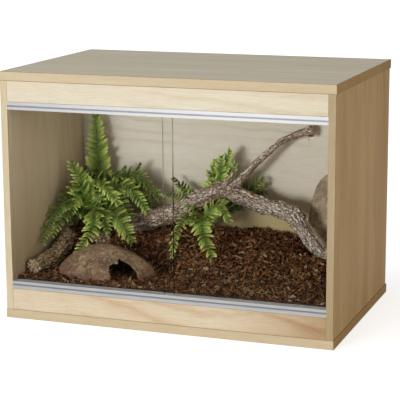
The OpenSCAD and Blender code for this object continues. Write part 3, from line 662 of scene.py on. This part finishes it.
def chip_places(rng, count, longest, shortest, sink):
    """Where chips lie: on the slope of the bed, tilted and half sunk."""
    places = []
    while len(places) < count:
        x = rng.uniform(low_bed.x + 5 * MM, high_bed.x - 5 * MM)
        y = rng.uniform(low_bed.y + 4 * MM, high_bed.y - 5 * MM)
        spot, normal = bed_at(x, y)
        if spot is None:
            continue
        length = rng.triangular(shortest, longest, shortest * 1.3)
        tilt = Matrix.Rotation(rng.gauss(0, 0.5), 4, "Y") @ Matrix.Rotation(rng.gauss(0, 0.9), 4, "X")
        lean = Vector((0, 0, 1)).rotation_difference(normal).to_matrix().to_4x4()
        spin = Matrix.Rotation(rng.uniform(0, math.tau), 4, "Z")
        up = spot + normal * rng.uniform(-sink, sink) * length
        matrix = Matrix.Translation(up) @ lean @ spin @ tilt @ Matrix.Diagonal((length, length, length, 1))
        front = (y - low_bed.y) / (high_bed.y - low_bed.y)
        tone = min(1, max(0, rng.gauss(0.4 + 0.06 * min(front * 3, 1), 0.24)))
        if rng.random() < 0.12 - 0.08 * front:
            tone = rng.uniform(0.8, 1.0)
        places.append((rng.randrange(CHIP_KINDS), matrix, tone))
    return places


chips_rng = random.Random(11)
shards = chip_shapes(chips_rng, CHIP_KINDS)
small = chip_places(chips_rng, 9000, 8.5 * MM, 4 * MM, 0.26)
scatter("small_chips", shards, small, chip_bark)
large = chip_places(chips_rng, 4200, 13 * MM, 6 * MM, 0.3)
scatter("large_chips", shards, large, chip_bark)


def heaped_chips(rng, node, count, rise):
    """Chips heaped against the front of a node's foot."""
    low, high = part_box(node)
    middle, half = (low + high) / 2, (high - low) / 2
    places = []
    for _ in range(count):
        angle = rng.uniform(math.pi * 0.98, math.pi * 1.98)
        out = rng.uniform(0, 1)
        x = middle.x + math.cos(angle) * (half.x - 3 * MM + out * 9 * MM)
        y = max(low_bed.y + 5 * MM, middle.y + math.sin(angle) * (half.y - 3 * MM + out * 9 * MM))
        spot, _ = bed_at(x, y)
        length = rng.uniform(6, 13) * MM
        spin = Matrix.Rotation(rng.uniform(0, math.tau), 4, "Z")
        turn = spin @ Matrix.Rotation(rng.gauss(0, 0.5), 4, "Y")
        up = spot + Vector((0, 0, (1 - out) * rng.uniform(0, rise)))
        matrix = Matrix.Translation(up) @ turn @ Matrix.Scale(length, 4)
        places.append((rng.randrange(CHIP_KINDS), matrix, min(1, max(0, rng.gauss(0.4, 0.27)))))
    return places


heap = heaped_chips(chips_rng, "cave_hide", 420, 7 * MM)
scatter("heaped_chips", shards, heap, chip_bark)


# Branch and log: bark with cracks along each limb

BACK_Y = 0.1155
LIMB_FOOT = 0.114


def limb(points):
    """A limb's middle line from the CAD's list: x, from the back panel, up from the fork's foot, radius."""
    return [(Vector((x * MM, BACK_Y + y * MM, LIMB_FOOT + z * MM)), r * MM) for x, y, z, r in points]


limbs = [
    limb([(-172, -66, -6, 17), (-137, -66, 13, 19), (-102, -64, 23, 18), (-66, -62, 37, 17),
          (-23, -60, 62, 16.5), (14, -59, 80, 15.5), (42, -60, 84, 14)]),
    limb([(30, -60, 80, 15), (69, -61, 66, 15.5), (108, -64, 56, 15), (140, -70, 52.5, 15.5),
          (160, -76, 41, 16.5), (178, -84, 18, 13), (199, -94, -2, 12), (224, -104, -20, 11)]),
    limb([(38, -60, 84, 10), (60, -54, 111, 7), (87, -46, 139, 6.5), (117, -36, 167, 6), (142, -28, 180, 6.5),
          (161, -23, 186, 7.5), (170, -21, 188, 6)]),
    limb([(22, -66, 84, 7), (34, -70, 102, 5.5), (46, -74, 119, 4)]),
]


def limb_coordinates(points, lines):
    """For each point, how far along the nearest limb it lies, where round it, and the limb's radius there."""
    best = np.full(len(points), 1e9)
    found = np.zeros((4, len(points)))
    start = 0.0
    for line in lines:
        for (a, ra), (b, rb) in zip(line, line[1:]):
            axis = b - a
            length = axis.length
            axis.normalize()
            across = axis.cross(Vector((0, 1, 0))).normalized()
            other = axis.cross(across)
            offset = points - np.array(a)
            t = np.clip(offset @ np.array(axis), 0, length)
            away = offset - t[:, None] * np.array(axis)
            thick = ra + (rb - ra) * t / length
            gap = np.linalg.norm(away, axis=1) - thick
            here = np.stack([start + t, away @ np.array(across), away @ np.array(other), thick])
            near = gap < best
            best[near] = gap[near]
            found[:, near] = here[:, near]
            start += length
        start += 1.0
    return found


def bark_material(name, crack, deep, ridge, dust, under, flake, worn=0.0):
    """Bark in small flakes, each with its own tone, and dark cracks between them; darker and browner where it
    faces down, which is painted shade.
    It is painted paler by that share where a limb comes down at the right, as painted light on that limb."""
    material, tree, shader = new_material(name, ridge, 0.88, Specular_IOR_Level=0.15)
    along = kept(tree, "along", "Vector")
    place = wandered(tree, along, 160, 0.005)
    cells = put(tree, "TexVoronoi", {"Vector": place, "Scale": 1 / flake})
    edges = put(tree, "TexVoronoi", {"Vector": place, "Scale": 1 / flake}, feature="DISTANCE_TO_EDGE")
    own_tone = put(tree, "SeparateXYZ", {"Vector": cells.outputs["Color"]}).outputs["X"]
    fibre = noise_value(tree, along, 640, 4, 0.7)
    patch = noise_value(tree, along, 70, 3)
    tone = times(tree, own_tone, 0.34)
    tone = plus(tree, tone, spread(tree, fibre, 0.38, 0.64, 0, 0.45))
    tone = plus(tree, tone, spread(tree, patch, 0.35, 0.65, -0.22, 0.3))
    # Painted light: the limb that comes down at the right is made paler by the share worn.
    down_right = math_node(tree, "SUBTRACT", place_on(tree, "X"), place_on(tree, "Z"))
    tone = plus(tree, tone, spread(tree, down_right, -0.16, -0.06, 0, worn))
    skin = blend_colour(tree, spread(tree, tone, 0.1, 0.45), deep, ridge)
    skin = blend_colour(tree, spread(tree, tone, 0.5, 0.85), skin, dust)
    # Painted shade: bark that faces down is darker and browner.
    skin = blend_colour(tree, times(tree, kept(tree, "under"), 0.75), skin, under)
    gap = spread(tree, edges.outputs["Distance"], 0.02, 0.14, 0.9, 0)
    deep_gap = spread(tree, kept(tree, "ridge"), 0.05, 0.4, 0.9, 0)
    open_crack = math_node(tree, "MAXIMUM", gap, deep_gap)
    feed(tree, shader, Base_Color=blend_colour(tree, open_crack, skin, crack))
    height = math_node(tree, "SUBTRACT", times(tree, fibre, 0.7), gap)
    bump(tree, shader, height, 0.0012)
    return material


def barked(node, name, lines, size, depth, plate, material, stretch=0.45, snapped=None):
    """Roughens a CAD limb: plates of bark as long as plate, cracks between them, and a ragged snapped end."""
    mesh = fine_skin(node, size)
    points, normals = points_of(mesh), normals_of(mesh)
    along, first, second, radius = limb_coordinates(points, lines)
    ringed = np.stack([along * stretch, first, second], axis=1)
    ridge = ridged(ringed, 1 / plate) * 0.65 + ridged(ringed, 2.1 / plate, 4.0) * 0.35
    lumps = fractal(points, 60, 3, 2.0) + 0.5 * fractal(points, 260, 2, 6.0)
    amount = depth * np.clip(radius / 0.014, 0.45, 1.15)
    shift = (ridge - 0.75) * amount + lumps * 0.5 * amount
    if snapped:
        near = np.clip(1.6 - np.linalg.norm(points - np.array(snapped), axis=1) / (11 * MM), 0, 1)
        shift += near * (fractal(points, 150, 3, 9.0) * 7.0 + 1.6) * MM
    set_points(mesh, points + normals * shift[:, None])
    if snapped:
        ridge = ridge + near * 0.35
    keep_values(mesh, "ridge", np.clip(ridge + lumps * 0.1, 0, 1))
    # How far each point faces down, for the painted shade on the lower side of a limb.
    keep_values(mesh, "under", np.clip(-normals[:, 2] * 1.3 - 0.1, 0, 1))
    keep_values(mesh, "along", ringed)
    piece = place_piece(name, mesh, [material])
    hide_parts(node)


# The branch's worn share is painted light on its right-hand limb.
branch_bark = bark_material("branch_bark", rgba(80, 59, 46), rgba(176, 148, 124), rgba(230, 210, 190),
                            rgba(250, 240, 230), rgba(160, 124, 90), 3.4 * MM, worn=0.26)
barked("branch", "branch_bark", limbs, 1.2 * MM, 3.2 * MM, 5.5 * MM, branch_bark, 0.32,
       snapped=limbs[2][-1][0])

LOG_LEAN = 6 * MM
LOG_RADIUS = 17 * MM
log_low, log_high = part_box("cork_log")
log_middle = (log_low + log_high) / 2
log_line = [(Vector((log_middle.x - LOG_LEAN, log_low.y, log_middle.z)), LOG_RADIUS),
            (Vector((log_middle.x + LOG_LEAN, log_high.y, log_middle.z)), LOG_RADIUS)]
log_bark = bark_material("log_bark", rgba(76, 58, 40), rgba(158, 131, 98), rgba(208, 182, 144),
                         rgba(218, 198, 162), rgba(150, 116, 82), 3.6 * MM)
barked("cork_log", "cork_log_bark", [log_line], 1.2 * MM, 3.6 * MM, 5 * MM, log_bark, 0.2)

# A hair-thin twig at the branch's snapped end, in mm from it, and a small knot of wood behind the hide

TWIG = ((-5, -5, -4), (-2, -8, -9), (-4, -8, -13), (-1, -9, -17))
TWIG_RADIUS = 0.5 * MM
KNOT = (-0.191, 0.004)
KNOT_SIZE = (15 * MM, 9 * MM, 12 * MM)
twig_bm = bmesh.new()
twig = smooth_path([limbs[2][-1][0] + Vector(p) * MM for p in TWIG], 5)
rib_tubes(twig_bm, [[(place, TWIG_RADIUS) for place in twig]])
twig_piece = new_piece("branch_twig", twig_bm, [branch_bark])
keep_values(twig_piece.data, "ridge", np.ones(len(twig_piece.data.vertices)))

knot_bm = bmesh.new()
bmesh.ops.create_icosphere(knot_bm, subdivisions=4, radius=1)
knot = new_piece("branch_knot", knot_bm, [log_bark])
knot_shape = points_of(knot.data)
knot_lumps = fractal(knot_shape, 1.6, 4, 5.0)[:, None]
knot_spot, _ = bed_at(*KNOT)
knot_shift = knot_shape * (1 + 0.5 * knot_lumps) * np.array(KNOT_SIZE)
set_points(knot.data, np.array(knot_spot) + knot_shift)
keep_values(knot.data, "ridge", np.clip(0.5 + knot_lumps[:, 0], 0, 1))
keep_values(knot.data, "along", knot_shape * 9 * MM)


# Cave hide and rock slab

def rock_material(name, dark, middle, pale, stain, stain_share, scale, foot=None):
    """Cast rock: patches of two tones, specks, darker pits, a few stains and a darker, redder foot; faces
    inside a cave are left fully dark, as painted shade.
    """
    material, tree, shader = new_material(name, middle, 0.78, Specular_IOR_Level=0.15)
    place = own_place(tree)
    parts = mottled(tree, scale, dark, middle, pale, 0.4)
    stained = spread(tree, noise_value(tree, place, 33, 3), 0.54, 0.68, 0, stain_share)
    skin = blend_colour(tree, stained, parts["Color"], stain)
    specks = spread(tree, noise_value(tree, place, 520, 2, 0.6), 0.6, 0.68, 0, 0.75)
    skin = blend_colour(tree, specks, skin, dark)
    glints = spread(tree, noise_value(tree, place, 470, 1, 0.5), 0.66, 0.7, 0, 0.6)
    skin = blend_colour(tree, glints, skin, pale)
    # The hide gets darker and redder towards its foot, along a wavy line.
    if foot:
        wavy = spread(tree, parts["Height"], 0.3, 0.7, -0.006, 0.006)
        ragged = plus(tree, place_on(tree, "Z"), wavy)
        skin = blend_colour(tree, spread(tree, ragged, 0.086, 0.074, 0, 0.75), skin, foot)
    pit_and_cave_shade = spread(tree, kept(tree, "pit_and_cave_shade"), 0, 0.35)
    feed(tree, shader, Base_Color=blend_colour(tree, pit_and_cave_shade, dark, skin))
    bump(tree, shader, parts["Height"], 0.0007)
    return material


def rocky(node, name, size, depth, scale, material, seed=1.0):
    """Roughens a CAD rock with lumps and pits, and leaves the faces inside a cave fully dark as painted
    shade.
    """
    mesh = fine_skin(node, size)
    points, normals = points_of(mesh), normals_of(mesh)
    lumps = fractal(points, scale, 5, seed)
    pits = ridged(points, scale * 2.4, seed + 3)
    shift = lumps * depth * 0.6 - (1 - pits) * depth * 0.45
    set_points(mesh, points + normals * shift[:, None])
    # Painted shade: faces inside the hide's cave get no pit value, so they take the dark colour.
    middle = points.mean(axis=0)
    inward = ((middle - points) * normals).sum(axis=1) > 4 * MM
    keep_values(mesh, "pit_and_cave_shade", np.where(inward, 0, np.clip(pits + lumps * 0.2, 0, 1)))
    piece = place_piece(name, mesh, [material])
    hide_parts(node)


hide_rock = rock_material("hide_rock", rgba(100, 76, 57), rgba(160, 137, 108), rgba(214, 198, 168),
                          rgba(136, 102, 80), 0.7, 38, rgba(104, 72, 58))
rocky("cave_hide", "cave_hide_rock", 1.7 * MM, 1.1 * MM, 50, hide_rock)
slab_rock = rock_material("slab_rock", rgba(134, 116, 96), rgba(204, 182, 154), rgba(224, 212, 184),
                          rgba(168, 160, 112), 0.7, 30)
rocky("rock_slab", "rock_slab_stone", 2 * MM, 1.2 * MM, 42, slab_rock, 5.0)


# Ferns

def leaf_material():
    """Moulded leaf: two greens by leaflet, with a painted highlight that makes it paler towards its tip and
    margin, and a soft sheen.
    """
    material, tree, shader = new_material("fern_leaf", rgba(82, 124, 48), 0.42, Specular_IOR_Level=0.2)
    tone = kept(tree, "tone")
    deep = blend_colour(tree, tone, rgba(10, 28, 4), rgba(74, 114, 20))
    lit_tip_green = blend_colour(tree, tone, rgba(54, 86, 20), rgba(230, 246, 134))
    veins = noise_value(tree, own_place(tree), 420, 3, 0.6)
    # Painted highlight: each leaflet is paler towards its tip and its margin.
    tip_highlight = math_node(tree, "POWER", kept(tree, "tip"), 1.6)
    paler = plus(tree, tip_highlight, times(tree, kept(tree, "edge"), 0.12), True)
    green = blend_colour(tree, paler, deep, lit_tip_green)
    autumn = spread(tree, noise_value(tree, own_place(tree), 30, 2), 0.56, 0.68, 0, 0.38)
    green = blend_colour(tree, autumn, green, rgba(136, 134, 36))
    green = blend_colour(tree, spread(tree, veins, 0.5, 0.75, 0, 0.35), green, rgba(58, 78, 30))
    feed(tree, shader, Base_Color=green, Roughness=spread(tree, veins, 0.3, 0.7, 0.36, 0.56))
    bump(tree, shader, veins, 0.0003)
    return material


def rib_material():
    material, tree, shader = new_material("fern_rib", rgba(116, 120, 62), 0.55)
    age = spread(tree, noise_value(tree, own_place(tree), 24, 2), 0.4, 0.62)
    feed(tree, shader, Base_Color=blend_colour(tree, age, rgba(128, 146, 74), rgba(112, 84, 52)))
    bump(tree, shader, noise_value(tree, own_place(tree), 900, 2), 0.0001)
    return material


leaf_green = leaf_material()
rib_green = rib_material()

LEAFLET_SHARE = 0.31
LEAFLET_STEPS = 7
LEAFLET_KINDS = 6
FROND_STEPS = 12
BARE_STEPS = 8


def leaflet_shapes(rng, count, hand):
    """Leaflets a unit long on X, curved like a sickle towards the frond's tip, folded and curled."""
    shapes = []
    for _ in range(count):
        bm = bmesh.new()
        bmesh.ops.create_grid(bm, x_segments=LEAFLET_STEPS, y_segments=2, size=0.5)
        curl, fold, wave = rng.uniform(-0.1, 0.6), rng.uniform(0.3, 0.9), rng.uniform(0.05, 0.16)
        sickle = rng.uniform(0.1, 0.36)
        for v in bm.verts:
            t = v.co.x + 0.5
            half = 0.5 * math.sin(math.pi * min(1, 0.2 + 0.79 * t)) ** 0.45
            notch = 1 + wave * math.cos(math.pi * LEAFLET_STEPS * t)
            side = v.co.y * 2
            v.co.x = t
            v.co.y = side * half * LEAFLET_SHARE * notch + hand * sickle * t * t
            v.co.z = (abs(side) - 1) * half * fold * LEAFLET_SHARE - curl * t * t * 0.45
        bmesh.ops.solidify(bm, geom=bm.faces[:], thickness=0.025)
        bmesh.ops.recalc_face_normals(bm, faces=bm.faces)
        shapes.append(mesh_from(bm, "leaflet_shape"))
    return shapes


def frond(rng, leaves, ribs, stops, look):
    """One frond through its stops: a tapered rib, and pairs of leaflets from above its foot to its tip."""
    half_width, tone, sweep_from, gap = look
    path = smooth_path(stops, FROND_STEPS)
    rises = [0.0]
    for a, b in zip(path, path[1:]):
        rises.append(rises[-1] + (b - a).length)
    length = rises[-1]
    ribs.append([(p, max(0.5, 1.5 * (1 - r / length)) * MM) for p, r in zip(path, rises)])
    bare = rises[BARE_STEPS]
    taper = 1.0 if length > 0.16 else 2.4
    pairs = max(8, int((length - bare) / (gap * MM)))
    for i in range(pairs):
        t = (i + 0.5) / pairs
        run = bare + (length - bare) * t
        k = max(j for j in range(len(path) - 1) if rises[j] <= run)
        here = path[k].lerp(path[k + 1], (run - rises[k]) / max(1e-9, rises[k + 1] - rises[k]))
        ahead = (path[min(len(path) - 1, k + 2)] - path[max(0, k - 1)]).normalized()
        face = Vector((0.12, -1, 0.75))
        face = (face - ahead * face.dot(ahead)).normalized()
        side = ahead.cross(face)
        reach = 1.22 * half_width * MM * min(1, 0.6 + t * 2) * (1 - 0.7 * t ** taper)
        for hand in (-1, 1):
            size = reach * rng.uniform(0.86, 1.12)
            sweep = math.radians(0.6 * sweep_from + 14 * t + rng.uniform(-9, 9))
            tilt = math.radians(rng.uniform(-36, 26))
            along = side * hand * math.cos(sweep) + ahead * math.sin(sweep)
            along = (along * math.cos(tilt) + face * math.sin(tilt)).normalized()
            across = face.cross(along).normalized()
            up = along.cross(across)
            wide = max(size, 13 * MM) * rng.uniform(0.85, 1.1)
            matrix = Matrix((along * size, across * wide, up * size)).transposed().to_4x4()
            matrix.translation = here
            kind = rng.randrange(LEAFLET_KINDS) + (LEAFLET_KINDS if hand < 0 else 0)
            # Painted shade: leaflets on the lower part of each frond, near the crown, are darker.
            own_tone = tone + rng.gauss(0, 0.16) - 0.4 * max(0, 1 - t / 0.45)
            leaves.append((kind, matrix, min(1, max(0, own_tone))))


def shape_edges(shape):
    """1 along a leaflet's margin and 0 along its middle: the outer rows of its grid are its margin."""
    rows = np.arange(len(shape.vertices)) // (LEAFLET_STEPS + 1) % 3
    return np.where(rows == 1, 0.0, 1.0)


def fern(name, node, crown, fronds, seed):
    """A fern: its leaflets as one piece, and its ribs as another. Each frond has its stops, mm from the
    crown, and its looks: half width in mm, tone, sweep and the gap between leaflets in mm. The tone is the
    frond's green, kept low on inner fronds as painted shade."""
    rng = random.Random(seed)
    shapes = leaflet_shapes(rng, LEAFLET_KINDS, 1) + leaflet_shapes(rng, LEAFLET_KINDS, -1)
    leaves, ribs = [], []
    for *stops, look in fronds:
        foot = crown + Vector((rng.uniform(-4, 4), rng.uniform(-4, 4), -6)) * MM
        frond(rng, leaves, ribs, [foot] + [crown + Vector(p) * MM for p in stops], look)
    foliage = scatter(name + "_leaves", shapes, leaves, leaf_green, smooth=True)
    for value, of_shape in (("tip", lambda shape: points_of(shape)[:, 0]), ("edge", shape_edges)):
        values = [of_shape(shape) for shape in shapes]
        keep_values(foliage.data, value, np.concatenate([values[kind] for kind, _, _ in leaves]))
    bm = bmesh.new()
    rib_tubes(bm, ribs)
    new_piece(name + "_ribs", bm, [rib_green])
    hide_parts(node)


LEFT_CROWN = Vector((-0.2005, 0.0235, 0.114))
# Fronds with low tones, down to 0.05, sit deep inside the fern: their dark green is painted shade.
left_fronds = [
    ((-10, 22, 36), (-27, 52, 109), (-36, 60, 204), (32, 0.95, 4, 4.6)),
    ((-17, -16, 34), (-24, -24, 83), (-44, -30, 128), (20, 0.85, 6, 6)),
    ((-12, -20, 44), (-24, -40, 70), (-36, -56, 40), (20, 0.85, 6, 6)),
    ((-1, -22, 48), (9, -62, 17), (-10, -86, -24), (22, 0.95, 12, 6.3)),
    ((-19, -24, 58), (-51, -64, 53), (-63, -118, -3), (22, 0.4, 10, 6.5)),
    ((-25, -18, 47), (-38, -68, 40), (-49, -104, 7), (18, 0.3, 18, 6.8)),
    ((-2, -14, 50), (5, -24, 96), (59, -56, 62), (21, 1.0, 10, 6.3)),
    ((3, -4, 55), (48, -2, 85), (95, -16, 44), (23, 0.8, 12, 6.5)),
    ((3, 6, 53), (49, 28, 100), (100, 38, 57), (24, 0.5, 16, 6.3)),
    ((2, 14, 50), (39, 30, 92), (96, 44, 52), (20, 0.35, 14, 6.3)),
    ((2, 22, 41), (11, 42, 77), (26, 50, 109), (14, 0.3, 40, 6.8)),
    ((10, 26, 41), (38, 48, 81), (55, 56, 115), (13, 0.35, 40, 6.8)),
    ((21, -24, 42), (53, -44, 32), (90, -70, -2), (20, 0.85, 12, 6.3)),
    ((8, -24, 45), (24, -44, 36), (41, -66, 13), (16, 0.5, 14, 6.8)),
    ((-12, 10, 40), (-30, 22, 84), (-40, 18, 108), (18, 0.2, 24, 6.8)),
    ((6, 20, 42), (24, 30, 76), (60, 52, 88), (18, 0.3, 18, 6.8)),
    ((-6, -10, 44), (-14, -20, 70), (2, -40, 92), (18, 0.6, 20, 6.5)),
    ((6, 8, 46), (40, 14, 78), (78, 20, 62), (18, 0.45, 16, 6.8)),
    ((-14, -4, 40), (-34, -14, 62), (-54, -30, 66), (16, 0.3, 16, 6.8)),
    ((4, 4, 36), (20, 4, 60), (40, -6, 40), (18, 0.1, 12, 6.8)),
    ((-4, 6, 30), (-24, 10, 50), (-50, 4, 34), (18, 0.1, 12, 6.8)),
    ((8, 10, 44), (44, 24, 70), (84, 40, 34), (22, 0.15, 14, 6.3)),
    ((10, 14, 40), (50, 34, 62), (92, 48, 14), (20, 0.05, 14, 6.3)),
    ((6, -6, 40), (34, -8, 60), (66, -20, 30), (20, 0.4, 12, 6.3)),
    ((-10, -14, 50), (-26, -34, 86), (-38, -52, 84), (20, 0.7, 10, 6.3)),
    ((2, 8, 50), (14, 12, 92), (40, 6, 100), (20, 0.3, 14, 6.3)),
    ((-8, -8, 36), (-26, -26, 46), (-44, -52, 20), (20, 0.15, 12, 6.5)),
    ((0, -12, 34), (14, -30, 36), (28, -48, 6), (20, 0.15, 12, 6.5)),
]
fern("left_fern", "fern_left", LEFT_CROWN, left_fronds, 3)

CENTRE_CROWN = Vector((-0.018, 0.0935, 0.122))
centre_fronds = [
    ((16, -14, 37), (26, -22, 88), (46, -22, 142), (20, 1.0, 28, 4.9)),
    ((9, -14, 37), (14, -22, 82), (18, -22, 124), (18, 0.9, 26, 5.2)),
    ((18, -14, 38), (38, -24, 76), (56, -24, 118), (18, 0.75, 30, 5.4)),
    ((16, -20, 40), (28, -30, 80), (32, -32, 132), (18, 0.95, 26, 5.2)),
    ((10, -16, 38), (22, -28, 70), (12, -38, 104), (18, 0.8, 24, 5.4)),
    ((-16, -10, 44), (-39, -12, 61), (-66, -14, 84), (12, 0.2, 20, 6)),
    ((53, -6, 48), (71, -4, 64), (102, -6, 90), (20, 0.4, 30, 5.7)),
    ((53, -6, 45), (78, -4, 60), (108, -6, 68), (19, 0.5, 30, 5.7)),
    ((-3, -84, 34), (-16, -124, 15), (-15, -154, -27), (15, 0.8, 14, 6.5)),
    ((15, -88, 40), (33, -128, 14), (61, -152, -27), (24, 0.95, 12, 6)),
    ((21, -94, 24), (52, -114, 62), (84, -140, 42), (20, 0.95, 12, 6.3)),
    ((4, -90, 24), (8, -112, 40), (12, -128, 30), (14, 0.6, 20, 6.8)),
    ((-7, -50, 44), (-41, -38, 56), (-72, -30, 57), (15, 0.5, 18, 6.5)),
    ((-10, -30, 40), (-30, -26, 60), (-52, -24, 74), (13, 0.35, 22, 6.8)),
]
fern("centre_fern", "fern_centre", CENTRE_CROWN, centre_fronds, 8)


# Stage, lamps and camera: FILL is the strength of the sky as light, and MIRRORED is how much of the
# white surroundings shows in reflections

FILL = 0.25
MIRRORED = 0.2
FLOOR_RADIUS = 9
FLOOR_GAP = 0.5 * MM


def seen_white(tree):
    """1 for what the camera sees, straight or through glass, MIRRORED for reflections, and else 0."""
    path = put(tree, "LightPath", {}).outputs
    mirrored = times(tree, path["Is Glossy Ray"], MIRRORED)
    seen = math_node(tree, "MAXIMUM", path["Is Camera Ray"], mirrored)
    return math_node(tree, "MAXIMUM", seen, path["Is Transmission Ray"])


def stage():
    """A plain pale floor, white to the camera, that keeps the cabinet's shadow."""
    bm = bmesh.new()
    bmesh.ops.create_circle(bm, cap_ends=True, segments=64, radius=FLOOR_RADIUS)
    floor = add_object("floor", mesh_from(bm, "floor"))
    floor.location.z = cad_box[0][2] - FLOOR_GAP
    material, tree, shader = new_material("floor_paint", [0.8, 0.8, 0.8, 1], 0.9)
    away = put(tree, "VectorMath", {0: own_place(tree)}, operation="LENGTH").outputs["Value"]
    strength = times(tree, seen_white(tree), spread(tree, away, 0.5, 2.5, 0.68, 0.95))
    glow = put(tree, "Emission", {"Color": [1, 1, 1, 1], "Strength": strength})
    both = put(tree, "AddShader", {0: shader.outputs["BSDF"], 1: glow.outputs["Emission"]})
    tree.links.new(both.outputs[0], tree.nodes["Material Output"].inputs["Surface"])
    floor.data.materials.append(material)


def sky():
    """White to the camera and through glass, and a soft fill to everything else."""
    world = bpy.data.worlds.new("studio")
    bpy.context.scene.world = world
    world.use_nodes = True
    tree = world.node_tree
    air = tree.nodes["Background"]
    air.inputs["Color"].default_value = (1, 1, 1, 1)
    tree.links.new(spread(tree, seen_white(tree), 0, 1, FILL, 1.0), air.inputs["Strength"])


def lamp(name, place, aim, size, power, colour=(1, 1, 1)):
    light = bpy.data.lights.new(name, "AREA")
    light.shape = "RECTANGLE"
    light.size, light.size_y = size
    light.energy = power
    light.color = colour
    holder = add_object(name, light)
    holder.location = place
    holder.rotation_euler = (Vector(aim) - Vector(place)).to_track_quat("-Z", "Y").to_euler()


stage()
sky()
lamp("key", (-0.65, -2.75, 0.42), (0, 0, 0.21), (0.75, 0.65), 38)
lamp("side_fill", (2.3, -1.5, 0.75), (0, 0, 0.2), (1.6, 1.4), 13.2, (1, 0.88, 0.72))
lamp("overhead", (-0.3, -0.5, 2.4), (0, 0, 0.4), (1.2, 0.9), 12)

view = bpy.data.cameras.new("view")
view.lens = 131.16
view.sensor_width = 36
view.clip_end = 30
camera = add_object("view", view)
camera.location = (0.84615, -2.32298, 0.70327)
camera.rotation_euler = [math.radians(a) for a in (78.1949, 0.2895, 20.0148)]
bpy.context.scene.camera = camera
bpy.context.scene.view_settings.view_transform = "Standard"
